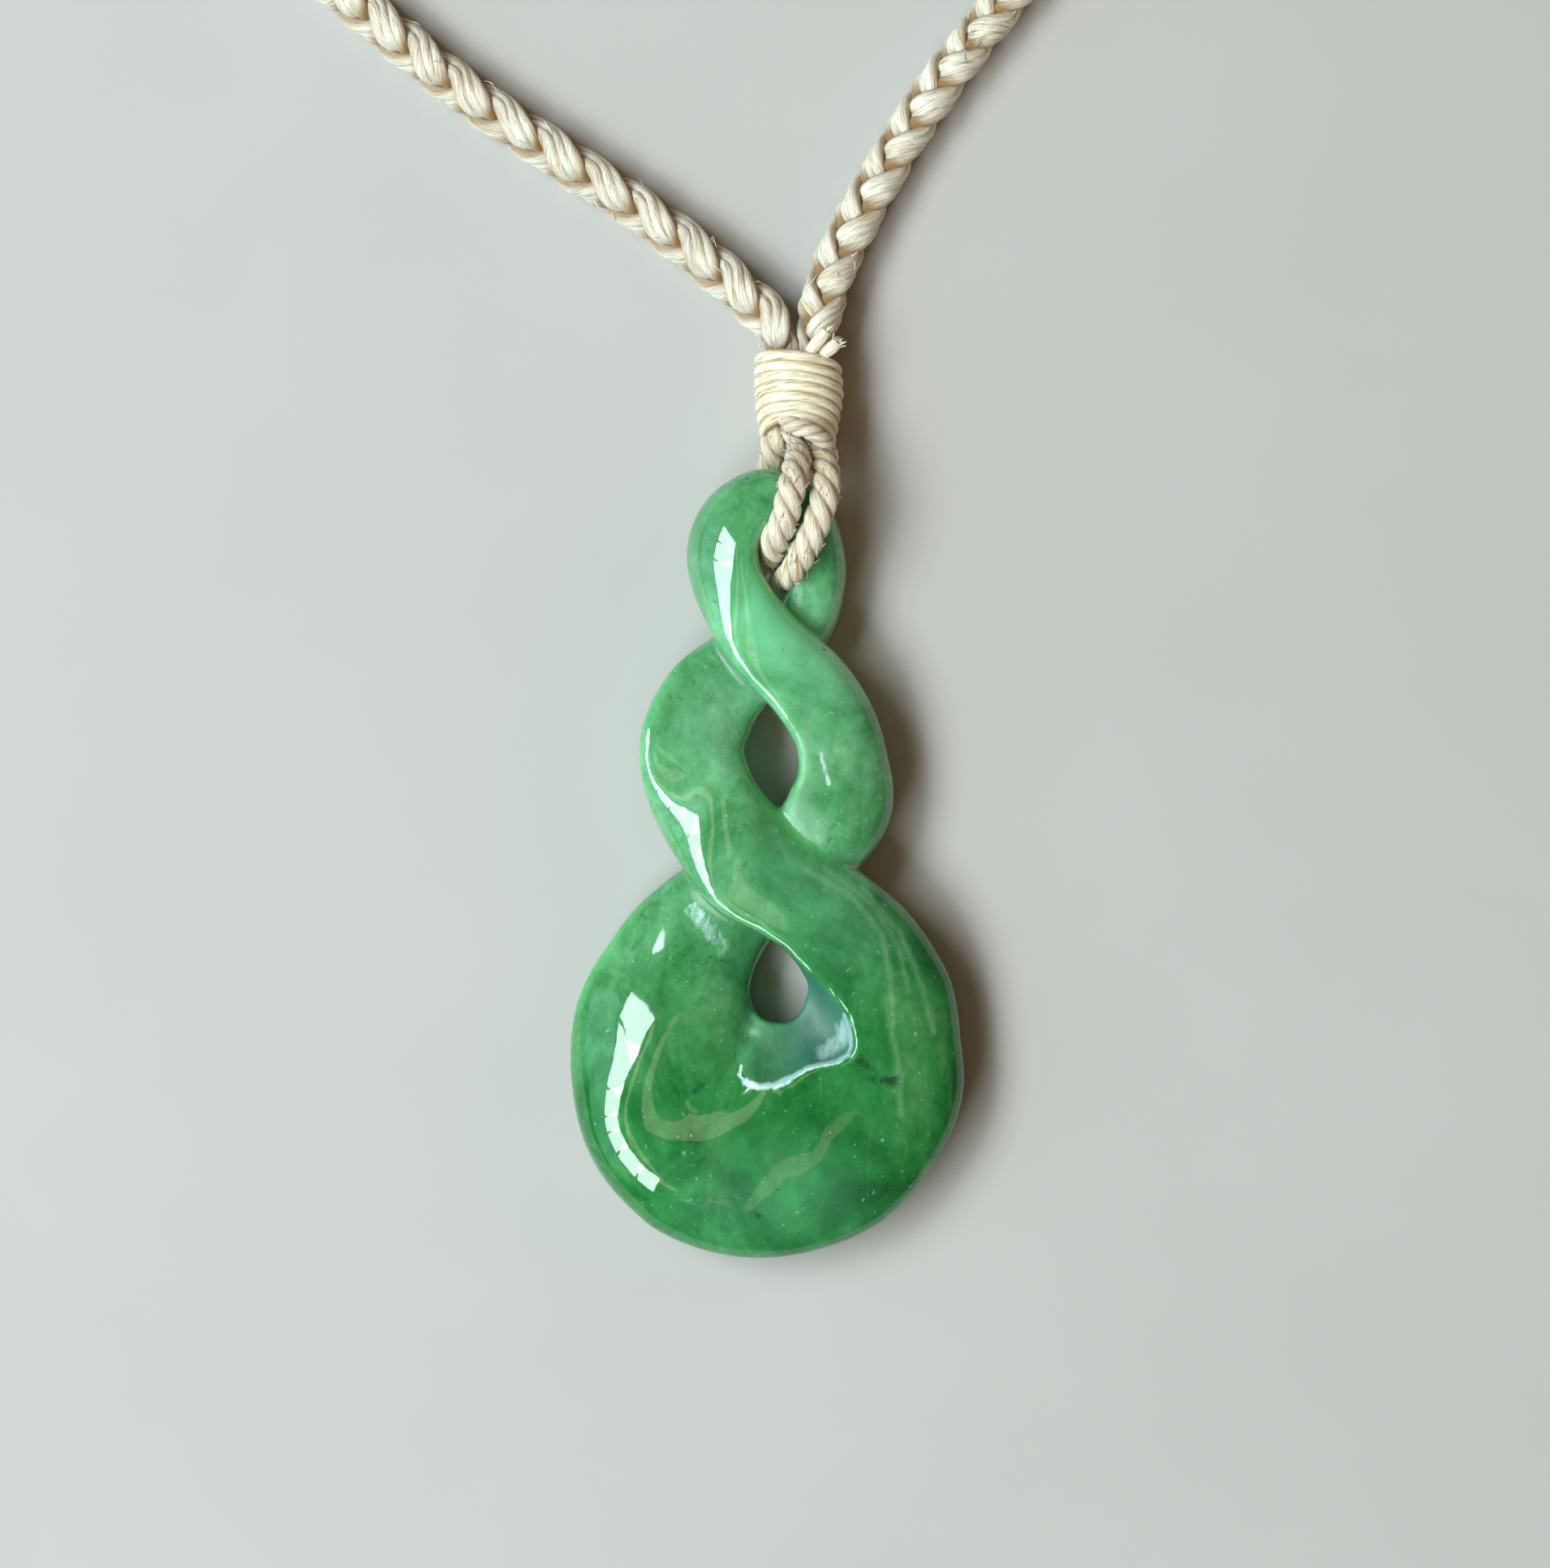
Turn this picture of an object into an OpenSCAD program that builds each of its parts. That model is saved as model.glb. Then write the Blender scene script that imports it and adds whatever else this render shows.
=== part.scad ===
// Greenstone twist pendant on a plaited neck cord, laid on a table.
// Millimetres, +Z up. The origin is on the table, under the middle of the whole necklace.
// The foot of the stone's disc points along -Y, and the neck loop lies towards +Y.

/* [Stone] */
// Height of the stone, from the foot of its disc to the top of its upper loop
stone_h = 50.3; // [49.5:0.1:50.6]
// Thickness of the stone at the foot of its disc
stone_t = 6.6; // [6.2:0.1:6.8]
// Roundness of the limbs' section, where 2 is an ellipse and less is a softer ridge
limb_round = 1.9; // [1.7:0.05:2.3]
// Radius of the scoop ground beside the disc's eye
scoop_r = 4.2; // [3.8:0.1:4.5]

/* [Cords] */
// Diameter of the plaited neck cord
braid_d = 3.0; // [2.6:0.1:3.0]
// Diameter of the plied cord that goes through the stone's upper eye
bail_d = 1.8; // [1.5:0.1:1.8]

/* [Whipping] */
// Length of the whipping that binds the cords above the stone
whip_l = 6.0; // [5.6:0.1:6.2]
// Width of the whipping where it is widest
whip_w = 5.8; // [5.6:0.1:6.0]
// Depth of the whipping, from the table up
whip_t = 5.0; // [4.9:0.1:5.2]
// Turns of thread in the whipping
whip_turns = 8; // [7:1:9]

/* [Closure] */
// Length of the barrel that closes the neck cord
closure_l = 10; // [9:0.5:12]
// Diameter of the barrel
closure_d = 4.8; // [4.6:0.1:5.4]

/* [Hidden] */

// Where the foot of the disc lies from the origin
foot = [12.2, -117.1, 0];

stone_green = "#3f9a4c";
cord_tan = "#d9c496";
bone = "#e8dfc8";

// Stone

// The stone is one closed band that crosses itself twice. It is followed from the top of the upper loop
// down its left limb, over, round the right, under, round the disc, over, round the left, under and back.
// Columns: x and y from the foot of the disc, height of the middle, half width, half thickness
BAND = [
    [-0.1, 48.0, 4.4, 2.25, 2.10],
    [-2.3, 47.0, 4.6, 2.20, 2.10],
    [-3.2, 44.9, 4.8, 2.15, 2.05],
    [-2.4, 42.3, 5.0, 2.20, 2.00],
    [-0.5, 39.3, 5.2, 2.50, 1.95],
    [2.3, 36.5, 5.0, 2.70, 2.10],
    [3.9, 34.1, 4.5, 2.75, 2.20],
    [4.6, 31.8, 4.0, 2.85, 2.30],
    [4.5, 29.1, 3.2, 3.30, 2.30],
    [3.0, 26.6, 2.5, 3.20, 2.20],
    [0.3, 24.5, 2.2, 3.20, 2.10],
    [-2.2, 22.9, 2.3, 3.50, 2.20],
    [-4.1, 21.0, 2.5, 4.10, 2.40],
    [-5.7, 18.6, 2.8, 4.80, 2.70],
    [-6.9, 14.8, 3.1, 5.80, 3.00],
    [-5.5, 10.7, 3.22, 6.80, 3.20],
    [-3.6, 9.0, 3.26, 7.50, 3.25],
    [-1.2, 7.8, 3.31, 7.65, 3.30],
    [1.3, 7.7, 3.31, 7.60, 3.30],
    [3.7, 8.5, 3.37, 7.15, 3.30],
    [6.3, 11.3, 3.5, 6.15, 3.20],
    [7.0, 14.3, 3.7, 5.15, 3.10],
    [6.4, 17.2, 4.1, 4.55, 2.90],
    [5.5, 19.7, 4.6, 3.75, 2.60],
    [3.3, 22.0, 5.0, 3.60, 2.35],
    [0.9, 23.6, 5.1, 3.50, 2.20],
    [-1.3, 25.3, 5.0, 3.60, 2.20],
    [-3.9, 28.6, 4.7, 3.40, 2.25],
    [-5.0, 32.2, 4.1, 3.35, 2.30],
    [-4.0, 35.2, 3.3, 3.20, 2.20],
    [-2.1, 37.3, 2.7, 2.80, 2.10],
    [0.1, 38.9, 2.3, 2.30, 2.00],
    [2.1, 40.5, 2.5, 1.95, 1.95],
    [2.9, 42.6, 2.9, 1.80, 1.95],
    [2.8, 44.6, 3.4, 1.95, 1.95],
    [1.9, 46.8, 4.0, 2.10, 2.05],
];
BAND_H = 50.3;
BAND_T = 6.6;
band_steps = 4;
band_sides = 24;
// Neighbouring lengths of the band overlap inside by a ring of this share, this far past their shared ring
overlap_share = 0.9;
overlap_past = 0.2;

// Centre of the scoop: it is ground into the disc's front, to the lower right of the eye
scoop_at = [1.4, 14.9];
scoop_floor = 3.9;
scoop_sides = 40;

// Cords

cord_sides = 8;
bail_sides = 10;
bail_steps = 3;
braid_steps = 1;
fit_gap = 0.05;

// Columns of the cords' routes: x, y, z, radius as a share of the cord's own
// Left half of the neck cord, from inside the whipping to the barrel
BRAID_LEFT = [
    [0.8, 55.0, 2.6, 0.58], [0.8, 57.4, 2.6, 0.60], [-0.2, 59.6, 2.2, 0.88], [-3.2, 62.6, 1.8, 1],
    [-8.0, 66.6, 1.5, 1], [-14.0, 70.6, 1.5, 1], [-20.2, 74.9, 1.5, 1], [-26.4, 80.0, 1.5, 1],
    [-32.0, 84.6, 1.5, 1], [-38.0, 89.6, 1.5, 1], [-44.0, 94.6, 1.5, 1], [-50.0, 99.8, 1.5, 1],
    [-56.0, 105.2, 1.5, 1], [-62.0, 111.2, 1.5, 1], [-68.0, 118.6, 1.5, 1], [-73.0, 126.4, 1.5, 1],
    [-77.0, 134.8, 1.5, 1], [-80.0, 143.4, 1.5, 1], [-82.0, 152.4, 1.5, 1], [-83.0, 161.6, 1.5, 1],
    [-82.6, 170.8, 1.5, 1], [-80.8, 179.8, 1.5, 1], [-77.6, 188.4, 1.5, 1], [-73.2, 196.6, 1.5, 1],
    [-67.6, 204.2, 1.5, 1], [-61.0, 211.2, 1.5, 1], [-53.6, 217.6, 1.5, 1], [-45.4, 222.9, 1.5, 1],
    [-37.2, 227.0, 1.7, 1], [-30.2, 229.7, 2.2, 1], [-24.2, 231.1, 2.4, 1], [-21.6, 231.36, 2.4, 1],
];
// Right half of the neck cord, from inside the whipping to the barrel
BRAID_RIGHT = [
    [2.7, 55.0, 2.6, 0.58], [2.75, 57.4, 2.6, 0.60], [3.2, 60.0, 2.2, 0.88], [4.3, 63.8, 1.8, 1],
    [6.8, 68.6, 1.5, 1], [10.0, 73.8, 1.5, 1], [14.7, 80.0, 1.5, 1], [19.6, 86.0, 1.5, 1],
    [25.0, 92.4, 1.5, 1], [30.2, 98.6, 1.5, 1], [35.4, 104.8, 1.5, 1], [40.4, 111.2, 1.5, 1],
    [45.2, 118.2, 1.5, 1], [49.6, 125.8, 1.5, 1], [53.4, 134.0, 1.5, 1], [56.2, 142.6, 1.5, 1],
    [58.0, 151.6, 1.5, 1], [58.6, 160.8, 1.5, 1], [58.0, 170.0, 1.5, 1], [56.4, 179.0, 1.5, 1],
    [53.6, 187.6, 1.5, 1], [49.8, 195.8, 1.5, 1], [45.0, 203.4, 1.5, 1], [39.2, 210.4, 1.5, 1],
    [32.6, 216.6, 1.5, 1], [25.2, 221.9, 1.5, 1], [17.2, 226.3, 1.5, 1], [8.6, 229.6, 1.5, 1],
    [-0.2, 231.7, 1.7, 1], [-8.4, 232.4, 2.2, 1], [-14.2, 232.05, 2.4, 1], [-16.4, 231.84, 2.4, 1],
];
// Left turn of the plied cord: out of the whipping, over the stone, through its eye and back under it
BAIL_LEFT = [
    [1.2, 54.2, 3.6, 0.62], [1.2, 53.0, 3.6, 0.62], [1.35, 52.2, 3.65, 0.62], [1.7, 51.4, 4.2, 0.74],
    [1.7, 50.7, 5.4, 0.95], [1.5, 49.7, 6.8, 1], [1.2, 48.3, 7.4, 1], [0.8, 46.7, 7.2, 1],
    [0.2, 45.5, 6.2, 1], [0.0, 44.6, 4.4, 0.88], [-0.15, 44.7, 2.7, 0.90], [-0.4, 46.0, 1.2, 0.95],
    [-0.4, 48.0, 1.0, 1], [0.0, 50.0, 1.05, 1], [0.55, 50.9, 1.75, 0.85], [0.95, 52.0, 2.45, 0.62],
    [1.2, 54.2, 2.4, 0.62],
];
// Right turn of the plied cord
BAIL_RIGHT = [
    [2.3, 54.2, 3.6, 0.62], [2.3, 53.0, 3.6, 0.62], [2.6, 52.2, 3.55, 0.62], [2.85, 51.4, 3.7, 0.67],
    [3.35, 50.5, 4.9, 0.93], [3.5, 49.4, 6.1, 1], [3.3, 48.0, 6.8, 1], [2.8, 46.4, 6.9, 1],
    [2.1, 44.9, 6.4, 1], [1.3, 43.6, 5.4, 0.90], [0.6, 43.05, 4.0, 0.82], [0.35, 43.1, 2.5, 0.82],
    [0.9, 43.9, 1.3, 0.90], [1.4, 45.5, 0.95, 0.95], [1.9, 47.6, 1.0, 1], [2.1, 50.0, 1.05, 1],
    [2.3, 50.9, 1.7, 0.85], [2.4, 52.0, 2.3, 0.62], [2.4, 54.2, 2.4, 0.62],
];

// Whipping

whip_foot = [1.75, 51.6, 3.0];
whip_head_z = 2.6;
// Widths and depths at its foot and its head; it is widest at the belly, a share of its length up
whip_foot_w = 4.6;
whip_foot_t = 4.5;
whip_head_w = 5.5;
whip_belly = 0.62;
whip_taper = 1.6;
// How far the front of each turn lies nearer to the head than its sides
whip_lean = 0.3;
// The thread runs out after the right-hand side of its last turn, which drops and rides over the front legs
whip_run_out = 0.7;
whip_steps = 14;
last_part = 0.5;
last_drop = 0.45;
last_rise = 1.0;
last_spread = 0.6;

// Cut ends of the whipping's thread
tail_d = 0.75;
TAIL_LEFT = [[2.4, 58.1, 4.3, 0.9], [2.8, 58.5, 4.6, 1], [3.5, 59.2, 4.9, 1]];
TAIL_RIGHT = [[3.3, 58.0, 4.2, 0.9], [3.8, 58.3, 4.3, 1.1], [4.5, 58.8, 4.4, 1.25]];

// Closure

closure_at = [-19.0, 231.6];
closure_turn = 5.4;
closure_end_d = 4.2;
closure_slope = 2.5;
closure_socket = 2.6;
closure_sides = 48;

// Ways and sections

// Point on the smooth curve from b to c, a share t of the way along
function between(a, b, c, d, t) =
    0.5 * (2 * b + (c - a) * t + (2 * a - 5 * b + 4 * c - d) * t * t + (3 * b - a - 3 * c + d) * t * t * t);

// Rows of an open route with steps rows for each of its own
function open_rows(rows, steps) =
    let (last = len(rows) - 1)
    [
        for (i = [0 : last - 1], k = [0 : steps - 1])
            between(rows[max(i - 1, 0)], rows[i], rows[i + 1], rows[min(i + 2, last)], k / steps),
        rows[last],
    ];

// Rows of a closed route
function closed_rows(rows, steps) =
    let (n = len(rows))
    [
        for (i = [0 : n - 1], k = [0 : steps - 1])
            between(rows[(i + n - 1) % n], rows[i], rows[(i + 1) % n], rows[(i + 2) % n], k / steps),
    ];

function unit(v) = v / norm(v);
function xyz(row) = [row[0], row[1], row[2]];
function along(rows, i) = unit(xyz(rows[min(i + 1, len(rows) - 1)]) - xyz(rows[max(i - 1, 0)]));

// Ring of a round section of radius r about the route's row i; up is a direction that the route never takes
function round_ring(rows, i, r, sides, up) =
    let (
        forward = along(rows, i),
        side = unit(cross(forward, up)),
        top = cross(side, forward)
    )
    [for (k = [0 : sides - 1]) let (a = 360 * k / sides) xyz(rows[i]) + r * (side * cos(a) + top * sin(a))];

// Tube along rows, each with its radius as a share of r in the fourth column
module tube(rows, r, sides, up) {
    n = len(rows);
    points = [for (i = [0 : n - 1]) each round_ring(rows, i, r * rows[i][3], sides, up)];
    walls = [
        for (i = [0 : n - 2], k = [0 : sides - 1])
            let (j = (k + 1) % sides, a = i * sides, b = a + sides)
            each [[a + k, a + j, b + k], [a + j, b + j, b + k]],
    ];
    caps = [[for (k = [sides - 1 : -1 : 0]) k], [for (k = [0 : sides - 1]) (n - 1) * sides + k]];
    polyhedron(points = points, faces = concat(walls, caps));
}

// Rounded power, which keeps the sign
function power(x, p) = sign(x) * pow(abs(x), p);

// Ring of the stone's section at row i, in the upright plane across the band
function band_ring(rows, i) =
    let (
        n = len(rows),
        row = rows[i],
        ahead = rows[(i + 1) % n] - rows[(i + n - 1) % n],
        across = unit([ahead[1], -ahead[0], 0])
    )
    [
        for (k = [0 : band_sides - 1])
            let (
                a = 360 * k / band_sides,
                u = row[3] * power(cos(a), 2 / limb_round),
                v = row[4] * power(sin(a), 2 / limb_round)
            )
            xyz(row) + across * u + [0, 0, v],
    ];

// Copy of a ring, drawn in towards its middle and moved past its plane
function inner_ring(ring, middle, past) = [for (p = ring) middle + overlap_share * (p - middle) + past];

function sized(row) =
    let (h = stone_h / BAND_H, t = stone_t / BAND_T)
    [row[0] * h, row[1] * h, row[2] * t, row[3] * h, row[4] * t];

module band() {
    rows = closed_rows([for (row = BAND) sized(row)], band_steps);
    n = len(rows);
    for (i = [0 : n - 1]) {
        j = (i + 1) % n;
        step = overlap_past * unit(xyz(rows[j]) - xyz(rows[i]));
        rings = [
            inner_ring(band_ring(rows, i), xyz(rows[i]), -step),
            band_ring(rows, i),
            band_ring(rows, j),
            inner_ring(band_ring(rows, j), xyz(rows[j]), step),
        ];
        hull()
            polyhedron(
                points = [for (ring = rings) each ring],
                faces = [for (r = [0 : len(rings) - 1]) [for (k = [0 : band_sides - 1]) r * band_sides + k]]
            );
    }
}

// Pieces

module pendant()
    color(stone_green)
        translate(foot)
            difference() {
                band();
                translate([scoop_at[0], scoop_at[1], scoop_floor + scoop_r])
                    sphere(r = scoop_r, $fn = scoop_sides);
            }

module bail_turn(route)
    color(cord_tan)
        translate(foot)
            tube(open_rows(route, bail_steps), bail_d / 2, bail_sides, [1, 0, 0]);

module bail_turn_left() bail_turn(BAIL_LEFT);
module bail_turn_right() bail_turn(BAIL_RIGHT);

// Width or depth of the whipping at a share s of its length from its foot, given those at foot, belly and head
function whip_size(s, foot_size, belly_size, head_size) =
    belly_size
    - (belly_size - foot_size) * pow(max(0, whip_belly - s) / whip_belly, whip_taper)
    - (belly_size - head_size) * pow(max(0, s - whip_belly) / (1 - whip_belly), whip_taper);

// The thread winds down from the front of the head; seen from above it goes to the right as it drops
function whip_rows() =
    let (
        pitch = whip_l / whip_turns,
        thread = pitch - fit_gap / 2,
        turns = whip_turns - whip_run_out,
        n = ceil(turns * whip_steps)
    )
    [
        for (i = [0 : n])
            let (
                turn = turns * i / n,
                a = 90 - 360 * turn,
                end = min(1, max(0, turn - turns + last_part) * 2 / last_part),
                late = end * end * (3 - 2 * end),
                s = 1 - (turn + 0.5) / whip_turns,
                half = (whip_size(s, whip_foot_w, whip_w, whip_head_w) - thread) / 2 + last_spread * late,
                deep = (whip_size(s, whip_foot_t, whip_t, whip_t) - thread) / 2 + last_rise * late,
                y = whip_l * s + whip_lean * sin(a) - last_drop * late,
                z = whip_foot[2] + (whip_head_z - whip_foot[2]) * s
            )
            [whip_foot[0] + half * cos(a), whip_foot[1] + y, z + deep * sin(a), 1],
    ];

module whipping()
    color(cord_tan)
        translate(foot)
            tube(whip_rows(), (whip_l / whip_turns - fit_gap / 2) / 2, cord_sides, [0, 1, 0]);

module tail_end(route)
    color(cord_tan)
        translate(foot)
            tube(open_rows(route, bail_steps), tail_d / 2, cord_sides, [0, 0, 1]);

module tail_end_left() tail_end(TAIL_LEFT);
module tail_end_right() tail_end(TAIL_RIGHT);

module braid(route)
    color(cord_tan)
        translate(foot)
            tube(open_rows(route, braid_steps), braid_d / 2, cord_sides, [0, 0, 1]);

module braid_left() braid(BRAID_LEFT);
module braid_right() braid(BRAID_RIGHT);

// Barrel turned from bone, with a blind socket in each end for the neck cord
module closure()
    color(bone)
        translate(foot + [closure_at[0], closure_at[1], closure_d / 2])
            rotate([0, 0, closure_turn])
                rotate([0, 90, 0])
                    difference() {
                        rotate_extrude($fn = closure_sides)
                            polygon([
                                [0, -closure_l / 2],
                                [closure_end_d / 2, -closure_l / 2],
                                [closure_d / 2, -closure_l / 2 + closure_slope],
                                [closure_d / 2, closure_l / 2 - closure_slope],
                                [closure_end_d / 2, closure_l / 2],
                                [0, closure_l / 2],
                            ]);
                        for (side = [-1, 1])
                            translate([0, 0, side * closure_l / 2])
                                cylinder(d = braid_d + 2 * fit_gap, h = 2 * closure_socket, center = true,
                                         $fn = closure_sides);
                    }

pendant();
bail_turn_left();
bail_turn_right();
whipping();
tail_end_left();
tail_end_right();
braid_left();
braid_right();
closure();
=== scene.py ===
"""Greenstone twist pendant on a plaited neck cord, lying on a pale table.

Lengths in the tables are millimetres in the stone's own frame, whose origin is the foot of the stone's
disc on the table. FOOT takes them to the part's frame, and MM to metres.
"""

import math

import bpy
import numpy as np
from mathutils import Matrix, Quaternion, Vector
from mathutils.bvhtree import BVHTree


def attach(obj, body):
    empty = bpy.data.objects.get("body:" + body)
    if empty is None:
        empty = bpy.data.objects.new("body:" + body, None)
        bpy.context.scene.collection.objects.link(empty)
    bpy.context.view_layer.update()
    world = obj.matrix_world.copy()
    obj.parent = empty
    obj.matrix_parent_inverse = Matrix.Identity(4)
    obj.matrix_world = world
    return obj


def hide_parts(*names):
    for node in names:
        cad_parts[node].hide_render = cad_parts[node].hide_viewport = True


MM = 0.001
FOOT = np.array([12.2, -117.1, 0.0])
SEED = 7

# Camera, in stone millimetres: it looks straight down, with the top of the picture towards +Y
PHOTO_CENTRE = (0.26, 30.2)
PHOTO_WIDTH = 98.45
PHOTO_PLANE = 4.0
CAMERA_HEIGHT = 330.0
SENSOR_MM = 36.0
CLIP_START = 10

# Lights, which all stand at LIGHT_DISTANCE from LIGHT_TARGET and face it. Columns: azimuth and elevation
# in degrees, width, height, brightness, which is 1 for a white card in full light, and for the parts of
# the ceiling also how far the card is turned in degrees
LIGHT_TARGET = np.array([0, 26.0, 4.0])
LIGHT_DISTANCE = 700
CEILING = (
    (180, 70, 420, 40, 1.5, 0),
    (236, 65, 34, 380, 1.5, 54),
    (90, 78, 120, 34, 1.0, 0),
    (281, 61, 42, 250, 0.8, -35),
    (165, 84.4, 195, 80, 1.25, 15),
    (262, 50, 60, 40, 0.7, 0),
)
CEILING_COLOUR = (1.0, 0.93, 0.66)
# A broad low light from the left
HAZE = (185, 28, 900, 400, 0.9)
HAZE_COLOUR = (0.55, 0.9, 1.0)
# A warm light from the right, which nothing mirrors
FILL = (15, 30, 600, 250, 1.25)
FILL_COLOUR = (1.0, 0.50, 0.14)
# Window panes at the left, side by side: elevation and height of each, and what they share
PANES = ((52.5, 250), (52.5, 253), (52.5, 254), (52.0, 248), (51.8, 241), (51.4, 234), (51.0, 230))
PANE_FIRST = 146.6
PANE_STEP = 15.3
PANE_WIDTH = 122
PANE_BRIGHTNESS = 11.2
PANE_COLOUR = (0.84, 0.95, 1.0)
ROOM_COLOUR = (1.0, 0.88, 0.72)
ROOM_STRENGTH = 0.07

# Table top: left, lower, right and upper edge, and how far below the part's z = 0 it lies
TABLE = (-900, -900, 900, 1100)
TABLE_DROP = 0.02

# Stone. Columns: x, y, height of the middle, half width, half thickness, how far the crest lies to the
# right of the run as a share of the half width, how square the section's right and left sides are, and
# the rise to the right
BAND = np.array([
    [-0.1, 48.0, 4.4, 2.25, 2.10, -0.25, 2.2, 2.4, -0.10],
    [-2.2, 47.0, 4.6, 2.25, 2.10, -0.20, 2.4, 2.6, -0.22],
    [-3.05, 44.9, 4.8, 2.30, 2.05, -0.10, 2.6, 2.8, -0.30],
    [-2.45, 42.3, 5.0, 2.30, 2.00, 0.0, 2.8, 2.8, -0.22],
    [-0.5, 39.3, 5.2, 2.50, 1.95, 0.2, 5.0, 2.2, 0.0],
    [2.3, 36.5, 5.0, 2.70, 2.10, 0.25, 6.0, 2.2, 0.10],
    [3.9, 34.1, 4.5, 2.75, 2.20, 0.25, 7.0, 2.4, 0.08],
    [4.6, 31.8, 4.1, 2.85, 2.30, 0.3, 8.0, 2.4, 0.08],
    [4.5, 29.1, 3.8, 3.30, 2.30, 0.3, 8.0, 2.4, 0.08],
    [3.0, 26.6, 3.5, 3.20, 2.20, 0.1, 6.0, 2.4, 0.05],
    [0.3, 24.5, 2.5, 3.20, 2.10, 0.0, 2.0, 2.0, 0.0],
    [-2.2, 22.9, 2.3, 3.50, 2.20, 0.0, 2.0, 2.0, 0.0],
    [-4.1, 21.0, 2.5, 4.10, 2.40, -0.1, 1.8, 2.0, 0.0],
    [-5.6, 18.55, 2.8, 4.90, 2.70, -0.15, 1.5, 2.0, 0.0],
    [-6.5, 14.8, 3.1, 6.20, 3.00, 0.0, 1.6, 1.9, 0.0],
    [-5.6, 10.6, 3.22, 7.02, 3.20, 0.30, 2.1, 1.9, 0.0],
    [-3.75, 8.8, 3.26, 7.76, 3.25, 0.05, 2.5, 2.0, 0.0],
    [-1.22, 7.72, 3.31, 7.70, 3.30, -0.36, 2.4, 2.2, 0.0],
    [1.28, 7.78, 3.31, 7.45, 3.30, -0.44, 2.2, 2.4, 0.0],
    [3.40, 8.90, 3.37, 7.40, 3.30, -0.44, 2.1, 2.6, 0.0],
    [5.87, 11.55, 3.5, 6.65, 3.20, -0.33, 2.1, 3.0, 0.0],
    [6.6, 14.3, 3.7, 5.55, 3.10, -0.36, 2.1, 3.4, -0.03],
    [6.38, 17.18, 4.1, 5.04, 2.90, -0.42, 2.1, 4.0, -0.06],
    [5.55, 19.72, 4.6, 4.00, 2.60, -0.44, 2.1, 5.0, -0.10],
    [3.4, 22.1, 5.0, 3.46, 2.35, -0.44, 2.1, 7.0, -0.12],
    [1.0, 23.7, 5.1, 3.36, 2.20, -0.42, 2.2, 7.0, -0.12],
    [-1.3, 25.3, 5.0, 3.60, 2.20, -0.35, 2.2, 7.0, -0.06],
    [-3.9, 28.6, 4.7, 3.40, 2.25, -0.1, 2.4, 3.0, 0.20],
    [-5.0, 32.2, 4.1, 3.35, 2.30, 0.0, 3.0, 8.0, -0.06],
    [-4.0, 35.2, 3.3, 3.20, 2.20, 0.0, 2.6, 8.0, -0.06],
    [-2.1, 37.3, 2.7, 2.80, 2.10, 0.0, 2.2, 3.0, 0.0],
    [0.1, 38.9, 2.3, 2.30, 2.00, 0.0, 2.0, 2.0, 0.0],
    [2.1, 40.5, 2.5, 1.95, 1.95, 0.0, 2.2, 3.0, -0.04],
    [2.9, 42.6, 2.9, 1.80, 1.95, 0.0, 2.2, 7.0, -0.10],
    [2.8, 44.6, 3.4, 1.95, 1.95, 0.0, 2.2, 7.0, -0.10],
    [1.9, 46.8, 4.0, 2.10, 2.05, -0.15, 2.2, 3.0, -0.05],
])
BAND_STEPS = 16
BAND_SIDES = 72
SECTION_SAMPLES = 361
VOXEL = 0.17
POLISH_PASSES = 7
POLISH_FACTOR = 0.5
# Lower eye and the bowl round it. Columns: x, y, z on the eye's edge, x, y, z on the bowl's rim, and how
# late the slope from one to the other steepens
EYE = np.array([
    [0.35, 19.6, 6.2, 0.6, 19.8, 7.0, 1.0],
    [-0.75, 19.0, 4.5, -0.95, 19.2, 6.5, 1.0],
    [-1.2, 17.9, 4.2, -1.4, 18.0, 6.0, 1.0],
    [-1.33, 16.95, 4.4, -1.6, 16.95, 6.0, 1.0],
    [-1.1, 16.0, 4.6, -1.9, 15.4, 6.4, 1.6],
    [-0.55, 15.3, 4.9, -2.1, 12.6, 6.6, 1.8],
    [0.3, 15.05, 4.9, -0.8, 11.2, 6.5, 2.2],
    [0.9, 15.05, 4.8, 0.8, 11.35, 6.5, 2.4],
    [1.4, 15.25, 4.7, 2.4, 12.3, 6.5, 2.4],
    [1.75, 15.5, 4.7, 4.3, 12.7, 6.5, 2.2],
    [1.97, 15.8, 4.7, 5.15, 13.3, 6.55, 2.0],
    [2.12, 16.15, 4.7, 5.2, 14.3, 6.6, 1.8],
    [2.25, 16.6, 4.8, 4.85, 15.5, 6.75, 1.7],
    [2.38, 17.15, 5.0, 4.1, 16.55, 6.85, 1.5],
    [2.2, 17.9, 5.4, 3.05, 17.7, 6.95, 1.3],
    [1.5, 18.85, 6.0, 1.9, 18.7, 7.0, 1.1],
])
EYE_STEPS = 8
# Stone added at the foot of the lower eye before the bowl is cut: middle and radii
EYE_SILL = ((0.7, 14.4, 3.2), (2.6, 2.4, 2.2))
# Sides and rings of its mesh, and how far its first and last rings are from the poles, in radians
SILL_SIDES = 48
SILL_RINGS = 24
SILL_POLE = 0.06
BOWL_STEPS = 12
# The bowl's cutter: heights of its foot and its top, height of its lip above the bowl's rim, and how far
# outside the rim the lip and the top are
CUTTER_FOOT = -1
CUTTER_TOP = 9
CUTTER_LIP = 0.5
CUTTER_LIP_OUT = 0.08
CUTTER_TOP_OUT = 0.12
# Height from which a point inside the rim is on the bowl, and from which the surface is the upper side
BOWL_LOW = 3.9
HIGH_FROM = 4.4
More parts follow.
